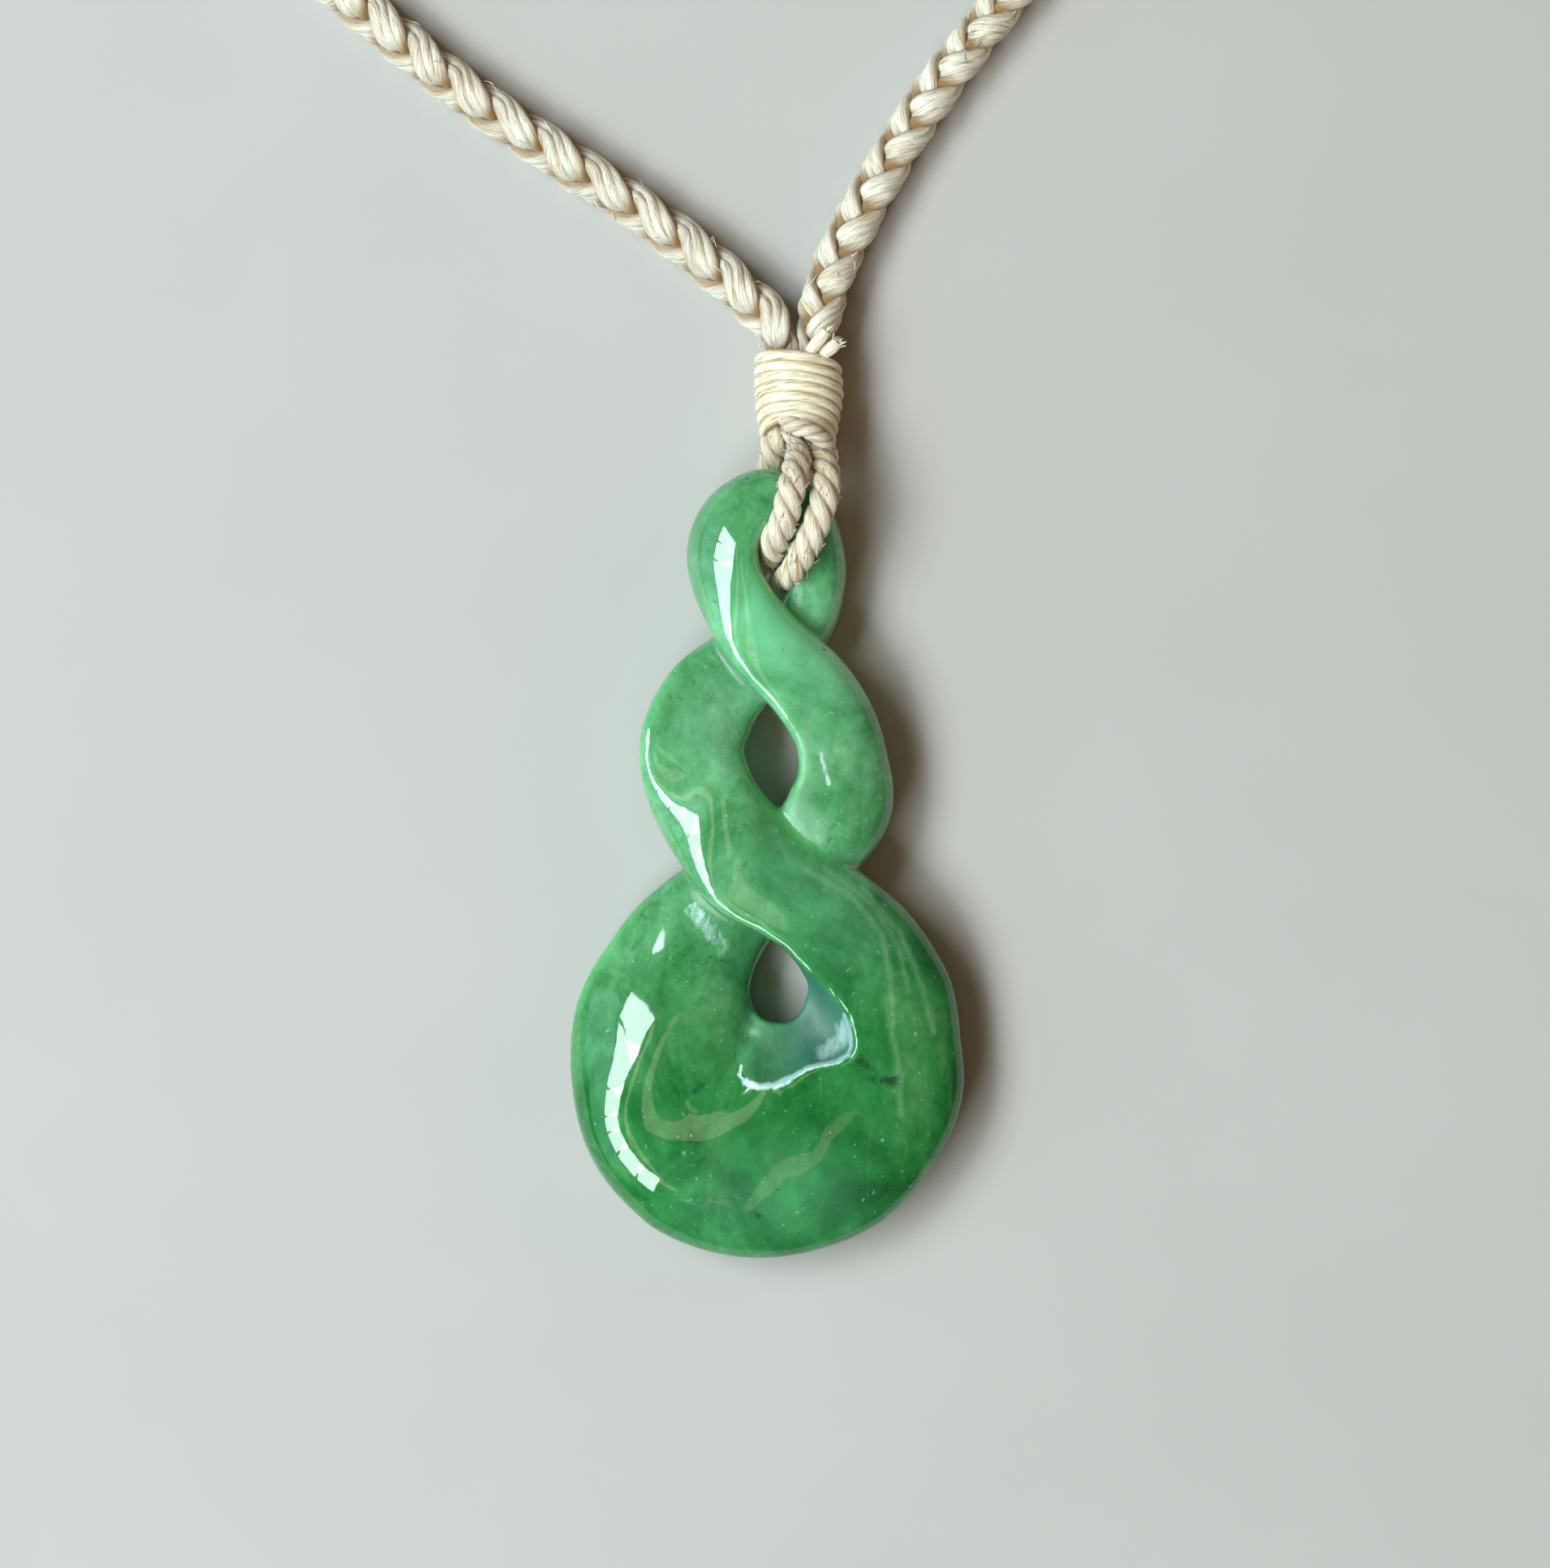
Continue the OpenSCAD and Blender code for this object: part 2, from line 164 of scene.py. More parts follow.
# Depth at which the painted glow of thin stone is down to about a third, and where under the surface its
# rays start
GLOW_DEPTH = 2.7
SKIN_DEPTH = 0.05
# Along Y in the part's frame, where the stone turns from its deep green to the paler one of its upper
# limbs, how much further up for each millimetre to the right, which paints shade on the right side, away
# from the light, and how far its clouds shift that
PALE_FROM = -102
PALE_TO = -83
PAINTED_SHADE_SLANT = 0.35
PALE_SHIFT = 12

# Places on the stone, in the tables from here to the long pale streaks. Columns: half width, strength, and
# the points of a line.
# These first ones whiten and dull the stone: the lines along the bowl's rim are worn places that the polish
# misses and also paint its highlight, the strokes at the upper left of the disc are worn, and the patch in
# the bowl's right corner and the short line on the right limb are painted highlights
FROST_AND_PAINTED_HIGHLIGHTS = (
    (0.12, 1.0, ((-1.86, 12.4), (-2.02, 11.85), (-1.6, 11.45))),
    (0.29, 1.0, ((-1.6, 11.4), (-0.8, 11.1), (0.3, 11.2), (1.1, 11.6))),
    (0.20, 1.0, ((1.1, 11.6), (2.3, 12.3), (3.1, 12.5), (4.2, 12.7), (4.85, 13.15))),
    (0.15, 0.8, ((4.85, 13.15), (5.05, 13.7), (5.0, 14.6), (4.6, 15.7))),
    (0.70, 0.72, ((3.3, 13.2), (4.4, 14.0), (4.6, 15.0))),
    (0.90, 0.56, ((-6.2, 24.0), (-3.1, 19.9))),
    (0.20, 0.75, ((3.15, 32.1), (3.4, 31.2), (3.65, 30.2))),
)
# Dull places
MATT = (
    (0.55, 0.9, ((2.5, 35.6), (2.15, 33.4), (2.2, 31.2), (1.7, 29.6))),
    (1.15, 1.0, ((1.7, 29.4), (1.9, 28.4), (2.6, 27.3))),
    (0.40, 0.9, ((-3.4, 39.0), (-2.0, 36.8))),
    (0.40, 0.9, ((-4.8, 23.2), (-3.0, 21.6))),
    (0.45, 0.9, ((1.6, 42.6), (1.5, 41.6))),
)
MATT_ROUGHNESS = 0.52
# Edges above a crossing that get a painted glow, as if light shone through them
PAINTED_GLOW_EDGES = (
    (0.75, 0.62, ((-0.9, 30.1), (0.2, 28.3), (1.7, 26.8), (3.4, 25.6))),
    (0.75, 0.62, ((-0.7, 43.2), (0.2, 41.7), (1.3, 40.5), (2.4, 39.2))),
)
# Paler patches
PALER = (
    (2.6, 0.70, ((-0.4, 41.0), (1.0, 39.0))),
    (2.4, 0.48, ((2.0, 37.8), (3.8, 36.2))),
    (3.2, 0.22, ((1.0, 24.5), (5.0, 21.0))),
    (3.2, 0.24, ((-3.0, 4.0), (3.0, 4.0))),
    (2.6, 0.12, ((-5.5, 34.0), (-5.5, 31.5))),
)
# Patches of painted shade: on the loop's left limb and beside the upper crossing
PAINTED_SHADE_PATCHES = (
    (2.0, 0.42, ((-4.8, 47.5), (-4.8, 42.5))),
    (2.0, 0.16, ((-4.0, 37.8), (-3.0, 36.8))),
)
# Patches of dark flecks
FLECKED = (
    (0.85, 1.0, ((5.6, 12.5), (6.8, 11.6), (7.8, 11.3))),
    (0.60, 0.8, ((5.2, 13.4), (5.9, 13.0))),
)
# Long pale streaks of painted reflection
PAINTED_REFLECTION_STREAKS = (
    (0.22, 0.50, ((2.3, 24.8), (5.2, 23.0), (7.0, 20.7), (7.5, 18.1), (7.7, 15.0))),
    (0.20, 0.45, ((5.7, 23.8), (8.2, 20.7), (9.5, 17.6), (10.3, 14.5))),
    (0.22, 0.40, ((7.2, 16.5), (8.0, 12.9), (8.2, 9.3))),
    (0.18, 0.40, ((3.4, 24.9), (6.4, 22.6), (8.0, 20.0), (8.7, 17.2))),
)
# The bowl is dull too, with a painted bluish sheen, the window's reflection, that sets in between these two
# x
SHEEN_FROM = -2.2
SHEEN_TO = 2.2

# Textures. Columns: scale along X, Y and Z, then detail, roughness and distortion
CLOUDS = ((150, 110, 180), 5.0, 0.62, 0.8)
DAPPLES = ((800, 640, 800), 6.0, 0.75, 0.5)
VEINS = ((420, 110, 260), 3.0, 0.6, 1.8)
FLECKS = ((900, 900, 900), 4.0, 0.65, 0.6)
SPECKS = ((2600, 2600, 2600), 2.0, 0.5, 0.0)
STROKES = ((2400, 900, 2400), 4.0, 0.65, 0.5)
SWELLS = ((210, 210, 210), 2.0, 0.4, 0.0)
RIPPLES = ((900, 300, 600), 3.0, 0.6, 0.5)
BONE_GRAIN = ((90, 1600, 1600), 3.0, 0.6, 0.1)
TABLE_MOTTLE = ((60, 60, 60), 3.0, 0.5, 0.2)

# Colours of ramps, each with its place along the ramp
DEEP_GREENS = (
    (0.30, (0.007, 0.125, 0.024)),
    (0.44, (0.014, 0.205, 0.042)),
    (0.58, (0.038, 0.280, 0.072)),
    (0.72, (0.100, 0.340, 0.105)),
)
PALE_GREENS = (
    (0.30, (0.054, 0.290, 0.085)),
    (0.46, (0.135, 0.440, 0.190)),
    (0.60, (0.220, 0.545, 0.285)),
    (0.76, (0.285, 0.590, 0.355)),
)
DAPPLE_TONES = ((0.32, (0.56, 0.66, 0.56)), (0.68, (1.16, 1.08, 1.14)))
FIBRE_GAP_TONES = ((0.33, (0.48, 0.32, 0.16)), (0.46, (1, 1, 1)))
BONE_TONES = ((0.3, (0.62, 0.52, 0.36)), (0.5, (0.78, 0.70, 0.54)), (0.8, (0.85, 0.79, 0.66)))
TABLE_TONES = ((0.3, (0.485, 0.465, 0.435)), (0.7, (0.500, 0.480, 0.450)))

# Layers over the stone's green. Columns: where the layer starts to show as its source grows, where it
# shows most, how much it shows there, and its colour
# Painted glow of light through thin stone
PAINTED_GLOW_LAYER = (0.42, 0.85, 0.9, (0.070, 0.620, 0.110))
VEIN_LAYER = (0.56, 0.72, 0.2, (0.24, 0.42, 0.18))
FLECK_LAYER = (0.64, 0.74, 0.6, (0.010, 0.070, 0.022))
DARK_LAYER = (0.36, 0.52, 0.85, (0.012, 0.060, 0.024))
SPECK_LAYER = (0.68, 0.76, 0.45, (0.42, 0.72, 0.50))
# Painted bluish sheen on the bowl
PAINTED_SHEEN_LAYER = (0.0, 0.62, 0.58, (0.055, 0.19, 0.19))
# Whitish worn places and painted highlights: how they fade in, and their colour
WEAR_AND_HIGHLIGHT_FADE = (0.19, 0.40, 0.9)
WEAR_AND_HIGHLIGHT_COLOUR = (0.72, 0.90, 0.90)
# Clouds make the paler patches uneven: from 0.6 to 1.3 of their strength
PATCH_FADE = (0.36, 0.66, 1.3, 0.6)
PATCH_COLOUR = (0.25, 0.76, 0.42)
PAINTED_SHADE_GREEN = (0.050, 0.190, 0.080)
PAINTED_REFLECTION_COLOUR = (0.42, 0.74, 0.42)

# Surface of the stone: what its dapples add to its roughness, height of its relief, share of the ripples
DAPPLE_ROUGHNESS = 0.08
STONE_RELIEF = 0.06
RIPPLE_SHARE = 0.05

# Cord materials. Columns: light and dark of the fibre, how fine its lines are, roughness, relief, sheen
PLAITED = ((0.98, 0.92, 0.77), (0.58, 0.41, 0.18), 1.2, 0.5, 0.10, 0.25)
PLIED = ((1.0, 0.91, 0.72), (0.62, 0.35, 0.10), 1.5, 0.5, 0.12, 0.25)
WAXED = ((0.91, 0.84, 0.66), (0.57, 0.37, 0.12), 0.8, 0.32, 0.03, 0.1)
# The brightest fibres against the light ones, and how much of the gaps between fibres shows
FIBRE_BRIGHT = 1.15
FIBRE_GAPS = 0.85
# Broad darker lengths of a thread, and the colour of the painted shade in its hollows and where it goes
# under, against the dark of the fibre
BROAD_FADE = (0.46, 0.80, 0.4)
PAINTED_SHADE_TONE = (0.52, 0.40, 0.24)

# Cords. Columns of the routes: x, y, z, radius as a share of the cord's own
BRAID_LEFT = np.array([
    [0.8, 55.0, 2.6, 0.58], [0.85, 57.4, 2.6, 0.68], [0.15, 59.5, 2.2, 0.98], [-3.0, 62.6, 1.8, 1],
    [-8.0, 66.6, 1.5, 1], [-14.0, 70.6, 1.5, 1], [-20.2, 74.9, 1.5, 1], [-26.4, 80.0, 1.5, 1],
    [-32.0, 84.6, 1.5, 1], [-38.0, 89.6, 1.5, 1], [-44.0, 94.6, 1.5, 1], [-50.0, 99.8, 1.5, 1],
    [-56.0, 105.2, 1.5, 1], [-62.0, 111.2, 1.5, 1], [-68.0, 118.6, 1.5, 1], [-73.0, 126.4, 1.5, 1],
    [-77.0, 134.8, 1.5, 1], [-80.0, 143.4, 1.5, 1], [-82.0, 152.4, 1.5, 1], [-83.0, 161.6, 1.5, 1],
    [-82.6, 170.8, 1.5, 1], [-80.8, 179.8, 1.5, 1], [-77.6, 188.4, 1.5, 1], [-73.2, 196.6, 1.5, 1],
    [-67.6, 204.2, 1.5, 1], [-61.0, 211.2, 1.5, 1], [-53.6, 217.6, 1.5, 1], [-45.4, 222.9, 1.5, 1],
    [-37.2, 227.0, 1.7, 1], [-30.2, 229.7, 2.2, 1], [-24.2, 231.1, 2.4, 1], [-21.6, 231.36, 2.4, 1],
])
BRAID_RIGHT = np.array([
    [2.7, 55.0, 2.6, 0.58], [2.7, 57.4, 2.6, 0.66], [3.1, 60.0, 2.2, 0.96], [4.3, 63.8, 1.8, 1],
    [6.8, 68.6, 1.5, 1], [10.0, 73.8, 1.5, 1], [14.7, 80.0, 1.5, 1], [19.6, 86.0, 1.5, 1],
    [25.0, 92.4, 1.5, 1], [30.2, 98.6, 1.5, 1], [35.4, 104.8, 1.5, 1], [40.4, 111.2, 1.5, 1],
    [45.2, 118.2, 1.5, 1], [49.6, 125.8, 1.5, 1], [53.4, 134.0, 1.5, 1], [56.2, 142.6, 1.5, 1],
    [58.0, 151.6, 1.5, 1], [58.6, 160.8, 1.5, 1], [58.0, 170.0, 1.5, 1], [56.4, 179.0, 1.5, 1],
    [53.6, 187.6, 1.5, 1], [49.8, 195.8, 1.5, 1], [45.0, 203.4, 1.5, 1], [39.2, 210.4, 1.5, 1],
    [32.6, 216.6, 1.5, 1], [25.2, 221.9, 1.5, 1], [17.2, 226.3, 1.5, 1], [8.6, 229.6, 1.5, 1],
    [-0.2, 231.7, 1.7, 1], [-8.4, 232.4, 2.2, 1], [-14.2, 232.05, 2.4, 1], [-16.4, 231.84, 2.4, 1],
])
BAIL_LEFT = np.array([
    [1.2, 54.2, 3.6, 0.62], [1.2, 53.0, 3.6, 0.62], [1.35, 52.2, 3.65, 0.62], [1.7, 51.4, 4.2, 0.74],
    [1.7, 50.7, 5.4, 0.95], [1.5, 49.7, 6.8, 1], [1.2, 48.3, 7.4, 1], [0.8, 46.7, 7.2, 1],
    [0.2, 45.5, 6.2, 1], [0.0, 44.6, 4.4, 0.88], [-0.15, 44.7, 2.7, 0.90], [-0.4, 46.0, 1.2, 0.95],
    [-0.4, 48.0, 1.0, 1], [-0.1, 50.0, 1.05, 1], [0.15, 51.1, 2.0, 0.95], [0.3, 52.4, 2.9, 0.9],
    [1.2, 54.2, 2.4, 0.62],
])
BAIL_RIGHT = np.array([
    [2.3, 54.2, 3.6, 0.62], [2.3, 53.0, 3.6, 0.62], [2.6, 52.2, 3.55, 0.62], [2.85, 51.4, 3.7, 0.67],
    [3.35, 50.5, 4.9, 0.93], [3.5, 49.4, 6.1, 1], [3.3, 48.0, 6.8, 1], [2.8, 46.4, 6.9, 1],
    [2.1, 44.9, 6.4, 1], [1.3, 43.6, 5.4, 0.90], [0.6, 43.05, 4.0, 0.82], [0.35, 43.1, 2.5, 0.82],
    [0.9, 43.9, 1.3, 0.90], [1.4, 45.5, 0.95, 0.95], [1.9, 47.6, 1.0, 1], [2.1, 50.0, 1.05, 1],
    [2.3, 50.9, 1.7, 0.85], [2.4, 52.0, 2.45, 0.62], [2.4, 54.2, 2.4, 0.62],
])

# Plaits. Columns: name, route, length of a strand's weave, roll in degrees, and start of the weave
PLAITS = (
    ("left", BRAID_LEFT, 10.35, -64, 0.4),
    ("right", BRAID_RIGHT, 9.3, -32, 2.0),
)
PLAIT_STEP = 0.3
PLAIT_WIDE = 0.86
PLAIT_DEEP = 0.52
STRANDS = 3
# The threads of a strand, side by side; the middle one stands THREAD_RISE above the others
THREADS = (-1, 0, 1)
THREAD_RADIUS = 0.45
THREAD_GAP = 0.60
THREAD_RISE = 0.17
THREAD_FLAT = (0.95, 1.05)
THREAD_TURN = 0.25
THREAD_GROOVE_SHADE = 0.72
# Unevenness of hand plaiting, which comes and goes along the cord: how much, and the length of a radian
ROLL_WANDER = (9, 23)
BEAT_WANDER = (0.035, 7.3)
GAP_WANDER = (0.05, 1.9)
SWELL_WANDER = (0.06, 1.3)
GAP_CHANCE = 0.02
# Direction that a strand's outer face takes, in degrees, at each place in the plait's period, and how
# many samples on either side it is evened out over
FACE_AT = [0, 45, 90, 135, 180, 225, 270, 315, 360]
FACE_TURN = [140, 50, 0, -50, 40, 130, 180, 230, 140]
FACE_BLUR = 3
# Painted shade on a strand where it goes under the others, near the middle of the plait
DIVE_PAINTED_SHADE = 0.9
DIVE_START = 1.25
DIVE_NEAR = 0.62
DIVE_POWER = 1.3

# Bail turns. Columns: name, route, and start of the twist
BAILS = (("left", BAIL_LEFT, 0.0), ("right", BAIL_RIGHT, 1.1))
BAIL_RADIUS = 0.93
BAIL_STEP = 0.14
BAIL_LAY = 3.9
BAIL_UP = (1, 0, 0)
# Twisted plies: how far out they lie and how thick and wide they are, as shares of the cord's radius
PLIES = 3
PLY_OUT = 0.44
PLY_FLAT = (0.56, 0.60)
PLY_SIDES = 14
PLY_TONE = 0.05
PLY_TURN = -0.5
PLY_GROOVE_SHADE = 1.05

# Stray fibres: how many and how long at most on a plait and on a bail turn, and a plait's radius for them
PLAIT_HAIRS = 420
PLAIT_HAIR = 1.3
PLAIT_REACH = 1.35
BAIL_HAIRS = 150
BAIL_HAIR = 0.9
HAIR_RADIUS = 0.036
HAIR_STEP = 0.3
HAIR_POINTS = 6
HAIR_LOWEST = -0.2
# Ranges of their length as a share of the longest, their lean along the cord and their sway to a side
HAIR_LENGTHS = (0.35, 1)
HAIR_LEANS = (0.5, 1.6)
HAIR_SWAYS = (-0.6, 0.6)
# Shares of the length that go outwards and along, and where in the cord's radius they start
HAIR_RISE = 0.45
HAIR_RUN = 0.6
HAIR_ROOT = 0.9

# Whipping, last wrap and tail ends
WHIP_FOOT = np.array([1.75, 51.6, 3.0])
WHIP_HEAD_Z = 2.6
WHIP_LENGTH = 6.0
WHIP_TURNS = 8
WHIP_RUN_OUT = 1.0
WHIP_BELLY = 0.62
WHIP_TAPER = 1.6
WHIP_WIDE = (4.6, 5.8, 5.5)
WHIP_DEEP = (4.5, 5.0, 5.0)
WHIP_BOW = (1.3, 0.35)
WHIP_BOW_UNDER = 0.35
WHIP_SLOPE = (0.1, 0.2)
WHIP_UNEVEN = (0.03, 5.1)
WRAP_STEPS = 56
WRAP_RADIUS = 0.385
WRAP_FLAT = (0.94, 1.02)
WRAP_SIDES = 16
WRAP_TURN = 0.12
WRAP_GROOVE_SHADE = 1.5
LAST_WRAP = np.array([
    [0.9, 53.6, 3.9, 0.8], [1.0, 53.2, 4.7, 0.9], [1.5, 52.85, 5.2, 1], [2.2, 52.65, 5.4, 1],
    [2.9, 52.3, 5.2, 1], [3.5, 51.75, 4.5, 0.95], [3.8, 51.15, 3.4, 0.85], [3.5, 50.9, 2.2, 0.7],
])
LAST_WRAP_RADIUS = 0.58
LAST_WRAP_STEP = 0.1
LAST_WRAP_LAY = 2.6
LAST_WRAP_UP = (0.1, 1, 0.2)
TAIL_LEFT = np.array([
    [2.2, 57.2, 4.3, 1.0], [2.7, 57.9, 4.8, 1.1], [3.2, 58.5, 5.0, 1.15], [3.5, 58.9, 5.1, 1.1],
])
TAIL_RIGHT = np.array([
    [3.0, 57.2, 4.1, 0.9], [3.5, 57.6, 4.5, 1.1], [3.9, 57.9, 4.6, 1.2], [4.2, 58.2, 4.6, 1.0],
])
# Tail ends. Columns: name, route, and number of frayed fibres
TAILS = (("left", TAIL_LEFT, 5), ("right", TAIL_RIGHT, 16))
TAIL_STEP = 0.08
TAIL_FLAT = (0.23, 0.36)
TAIL_OUT = (0.3, 0.1, 1.0)
TAIL_SIDES = 12
# Frayed fibres: where they start behind the tip and to its sides, how far they reach, spread and lift
FRAY_BACK = 0.35
FRAY_WIDE = 0.27
FRAY_HEIGHTS = (-0.12, 0.16)
FRAY_LENGTHS = (0.5, 0.85)
FRAY_SPREAD = 0.3
FRAY_LIFTS = (-0.15, 0.3)
FRAY_FLAT = (0.045, 0.05)

# Rounded edges of the bone barrel
BEVEL_WIDTH = 0.25
BEVEL_SEGMENTS = 3
BEVEL_ANGLE = 20

# Straight up; and a point times LEVEL is the point straight below it on the table
UP = np.array([0.0, 0.0, 1.0])
LEVEL = (1, 1, 0)
# How the painted shade of a groove grows towards the back of a tube
GROOVE_BASE = 0.80
GROOVE_SWING = 0.85
GROOVE_POWER = 1.3
# Steps that a route is measured in between two of its rows, and what stands in for a length of zero
ROUTE_STEPS = 40
TINY = 1e-12
# Colour sockets of a mix node, whose names other sockets share
MIX_A = 6
MIX_B = 7
MIX_RESULT = 2


# Curves and frames

def between(rows, steps, closed=False):
    """Rows of the smooth curve through rows, with steps rows for each of its own."""
    n = len(rows)
    spans = n if closed else n - 1
    pick = (lambda i: i % n) if closed else (lambda i: min(max(i, 0), n - 1))
    out = []
    for i in range(spans):
        a, b, c, d = (rows[pick(i + k)] for k in (-1, 0, 1, 2))
        for t in np.arange(steps) / steps:
            out.append(0.5 * (2 * b + (c - a) * t + (2 * a - 5 * b + 4 * c - d) * t**2
                              + (3 * b - a - 3 * c + d) * t**3))
    if not closed:
        out.append(rows[-1])
    return np.array(out)


def unit(v):
    return v / np.maximum(np.linalg.norm(v, axis=-1, keepdims=True), TINY)


def distances(points):
    """Distance along a line of points, at each of them."""
    return np.concatenate([[0], np.cumsum(np.linalg.norm(np.diff(points, axis=0), axis=1))])


def evenly(rows, step):
    """Rows of a route at even distances of about step, with the distance along it."""
    dense = between(rows, ROUTE_STEPS)
    gone = distances(dense[:, :3])
    count = max(2, int(round(gone[-1] / step)) + 1)
    at = np.linspace(0, gone[-1], count)
    return np.stack([np.interp(at, gone, dense[:, k]) for k in range(dense.shape[1])], axis=1), at


def frames(points, up):
    """Forward, side and top directions along points; up is a direction that the route never takes."""
    forward = unit(np.gradient(points, axis=0))
    side = unit(np.cross(forward, np.asarray(up, float)))
    return forward, side, np.cross(side, forward)


def wander(gone, change, start):
    """A slow change along a cord; change is how much and the length of a radian."""
    amount, length = change
    return amount * np.sin(gone / length + start)


# Meshes

def quads(rings, sides, first=0, loop=False):
    """Faces between rings of points that are numbered from first; loop joins the last ring to the first."""
    i, k = np.meshgrid(np.arange(rings if loop else rings - 1), np.arange(sides), indexing="ij")
    i2, k2 = (i + 1) % rings, (k + 1) % sides
    corners = [i * sides + k, i * sides + k2, i2 * sides + k2, i2 * sides + k]
    return (first + np.stack(corners, axis=-1)).reshape(-1, 4).tolist()


def drum(rings, sides, first=0):
    """Faces between rings of points, and one more face on each end."""
    last = first + (rings - 1) * sides
    ends = [[first + k for k in range(sides - 1, -1, -1)], [last + k for k in range(sides)]]
    return quads(rings, sides, first) + ends


class Tubes:
    """Closed tubes with elliptic sections that become one mesh, with an along map and an attribute that
    carries the plies' tone and painted shade.
    """

    def __init__(self):
        self.points, self.faces, self.along, self.shade = [], [], [], []
        self.count = 0

    def add(self, centres, out, half_out, half_side, shade=0.0, sides=10, turn=0.0, groove=0.0):
        """A tube along centres; out is the direction of its half_out.

        turn twists its map. The tube is darkened by the plies' tone, by painted shade where a strand goes
        under, and by painted shade on its back, which faces into the groove.
        """
        n = len(centres)
        forward = unit(np.gradient(centres, axis=0))
        out = unit(out - forward * np.sum(out * forward, axis=1, keepdims=True))
        side = np.cross(forward, out)
        a = np.linspace(0, 2 * math.pi, sides, endpoint=False)
        half_out = np.broadcast_to(half_out, n)[:, None, None]
        half_side = np.broadcast_to(half_side, n)[:, None, None]
        ring = (centres[:, None] + np.cos(a)[None, :, None] * out[:, None] * half_out
                + np.sin(a)[None, :, None] * side[:, None] * half_side)
        # Painted shade on the back of the tube, the side that faces into the groove between threads
        back_shade = groove * np.clip(GROOVE_BASE - GROOVE_SWING * np.cos(a), 0, 1) ** GROOVE_POWER
        shade = np.broadcast_to(shade, n)
        self.points.append(ring.reshape(-1, 3))
        self.shade.append(np.clip(shade[:, None] + back_shade[None], 0, 1).ravel())
        self.faces.extend(drum(n, sides, self.count))
        self.count += n * sides
        self.map_along(distances(centres), sides, 2 * math.pi * float(np.mean(half_side)), turn)

    def map_along(self, gone, sides, girth, turn):
        """The map of one tube's faces: round it, and along it."""
        n = len(gone)
        i, k = np.meshgrid(np.arange(n - 1), np.arange(sides), indexing="ij")
        around = np.stack([k, k + 1, k + 1, k], axis=-1) / sides * girth
        length = np.stack([gone[i], gone[i], gone[i + 1], gone[i + 1]], axis=-1)
        self.along.extend(np.stack([around + turn * length, length], axis=-1).reshape(-1, 2).tolist())
        for row, order in ((0, range(sides - 1, -1, -1)), (n - 1, range(sides))):
            self.along.extend([[k / sides * girth, gone[row]] for k in order])

    def build(self, name, material):
        obj = mesh_object(name, np.concatenate(self.points), self.faces, material)
        layer = obj.data.uv_layers.new(name="along")
        layer.data.foreach_set("uv", np.array(self.along, np.float32).ravel())
        # Attribute of the plies' tone and of painted shade
        shade = obj.data.attributes.new("shade", "FLOAT", "POINT")
        shade.data.foreach_set("value", np.concatenate(self.shade).astype(np.float32))
        return obj


def mesh_object(name, points, faces, material):
    """A smooth mesh from points in stone millimetres."""
    mesh = bpy.data.meshes.new(name)
    mesh.from_pydata(((np.asarray(points) + FOOT) * MM).tolist(), [], faces)
    mesh.materials.append(material)
    mesh.shade_smooth()
    obj = bpy.data.objects.new(name, mesh)
    bpy.context.scene.collection.objects.link(obj)
    return obj


def bake(obj):
    """Puts the object's mesh with its modifiers applied in place of the old one."""
    graph = bpy.context.evaluated_depsgraph_get()
    mesh = bpy.data.meshes.new_from_object(obj.evaluated_get(graph))
    obj.modifiers.clear()
    obj.data = mesh


# Nodes of a material

def shader(name, **sockets):
    """A new material and its principled shader, with constants on the shader's own sockets."""
    material = bpy.data.materials.new(name)
    material.use_nodes = True
    node = material.node_tree.nodes["Principled BSDF"]
    for socket, value in sockets.items():
        node.inputs[socket.replace("_", " ")].default_value = value
    return material, node


def add(material, kind, **settings):
    """A new node; settings are values of its sockets, or else of the node itself."""
    node = material.node_tree.nodes.new(kind)
    for key, value in settings.items():
        if key in node.inputs:
            node.inputs[key].default_value = value
        else:
            setattr(node, key, value)
    return node


def wire(material, source, target):
    material.node_tree.links.new(source, target)


def ramp(material, source, stops):
    """Colours that follow source; each stop is a place from 0 to 1 and its colour."""
    node = add(material, "ShaderNodeValToRGB")
    elements = node.color_ramp.elements
    while len(elements) < len(stops):
        elements.new(0.5)
    for element, (at, colour) in zip(elements, stops):
        element.position = at
        element.color = (*colour, 1.0)
    wire(material, source, node.inputs["Fac"])
    return node.outputs["Color"]


def fade(material, source, start, end, most, least=0.0):
    """A grey that goes from least to most while source goes from start to end."""
    return ramp(material, source, ((start, (least,) * 3), (end, (most,) * 3)))


def noise(material, source, texture):
    """Noise of one of the textures, from 0 to 1."""
    scale, detail, roughness, distortion = texture
    mapping = add(material, "ShaderNodeMapping", Scale=scale)
    wire(material, source, mapping.inputs["Vector"])
    node = add(material, "ShaderNodeTexNoise", Scale=1.0, Detail=detail, Roughness=roughness,
               Distortion=distortion)
    wire(material, mapping.outputs["Vector"], node.inputs["Vector"])
    return node.outputs["Fac"]


def maths(material, operation, *values):
    node = add(material, "ShaderNodeMath", operation=operation)
    for value, socket in zip(values, node.inputs):
        if isinstance(value, (int, float)):
            socket.default_value = value
        else:
            wire(material, value, socket)
    return node.outputs["Value"]


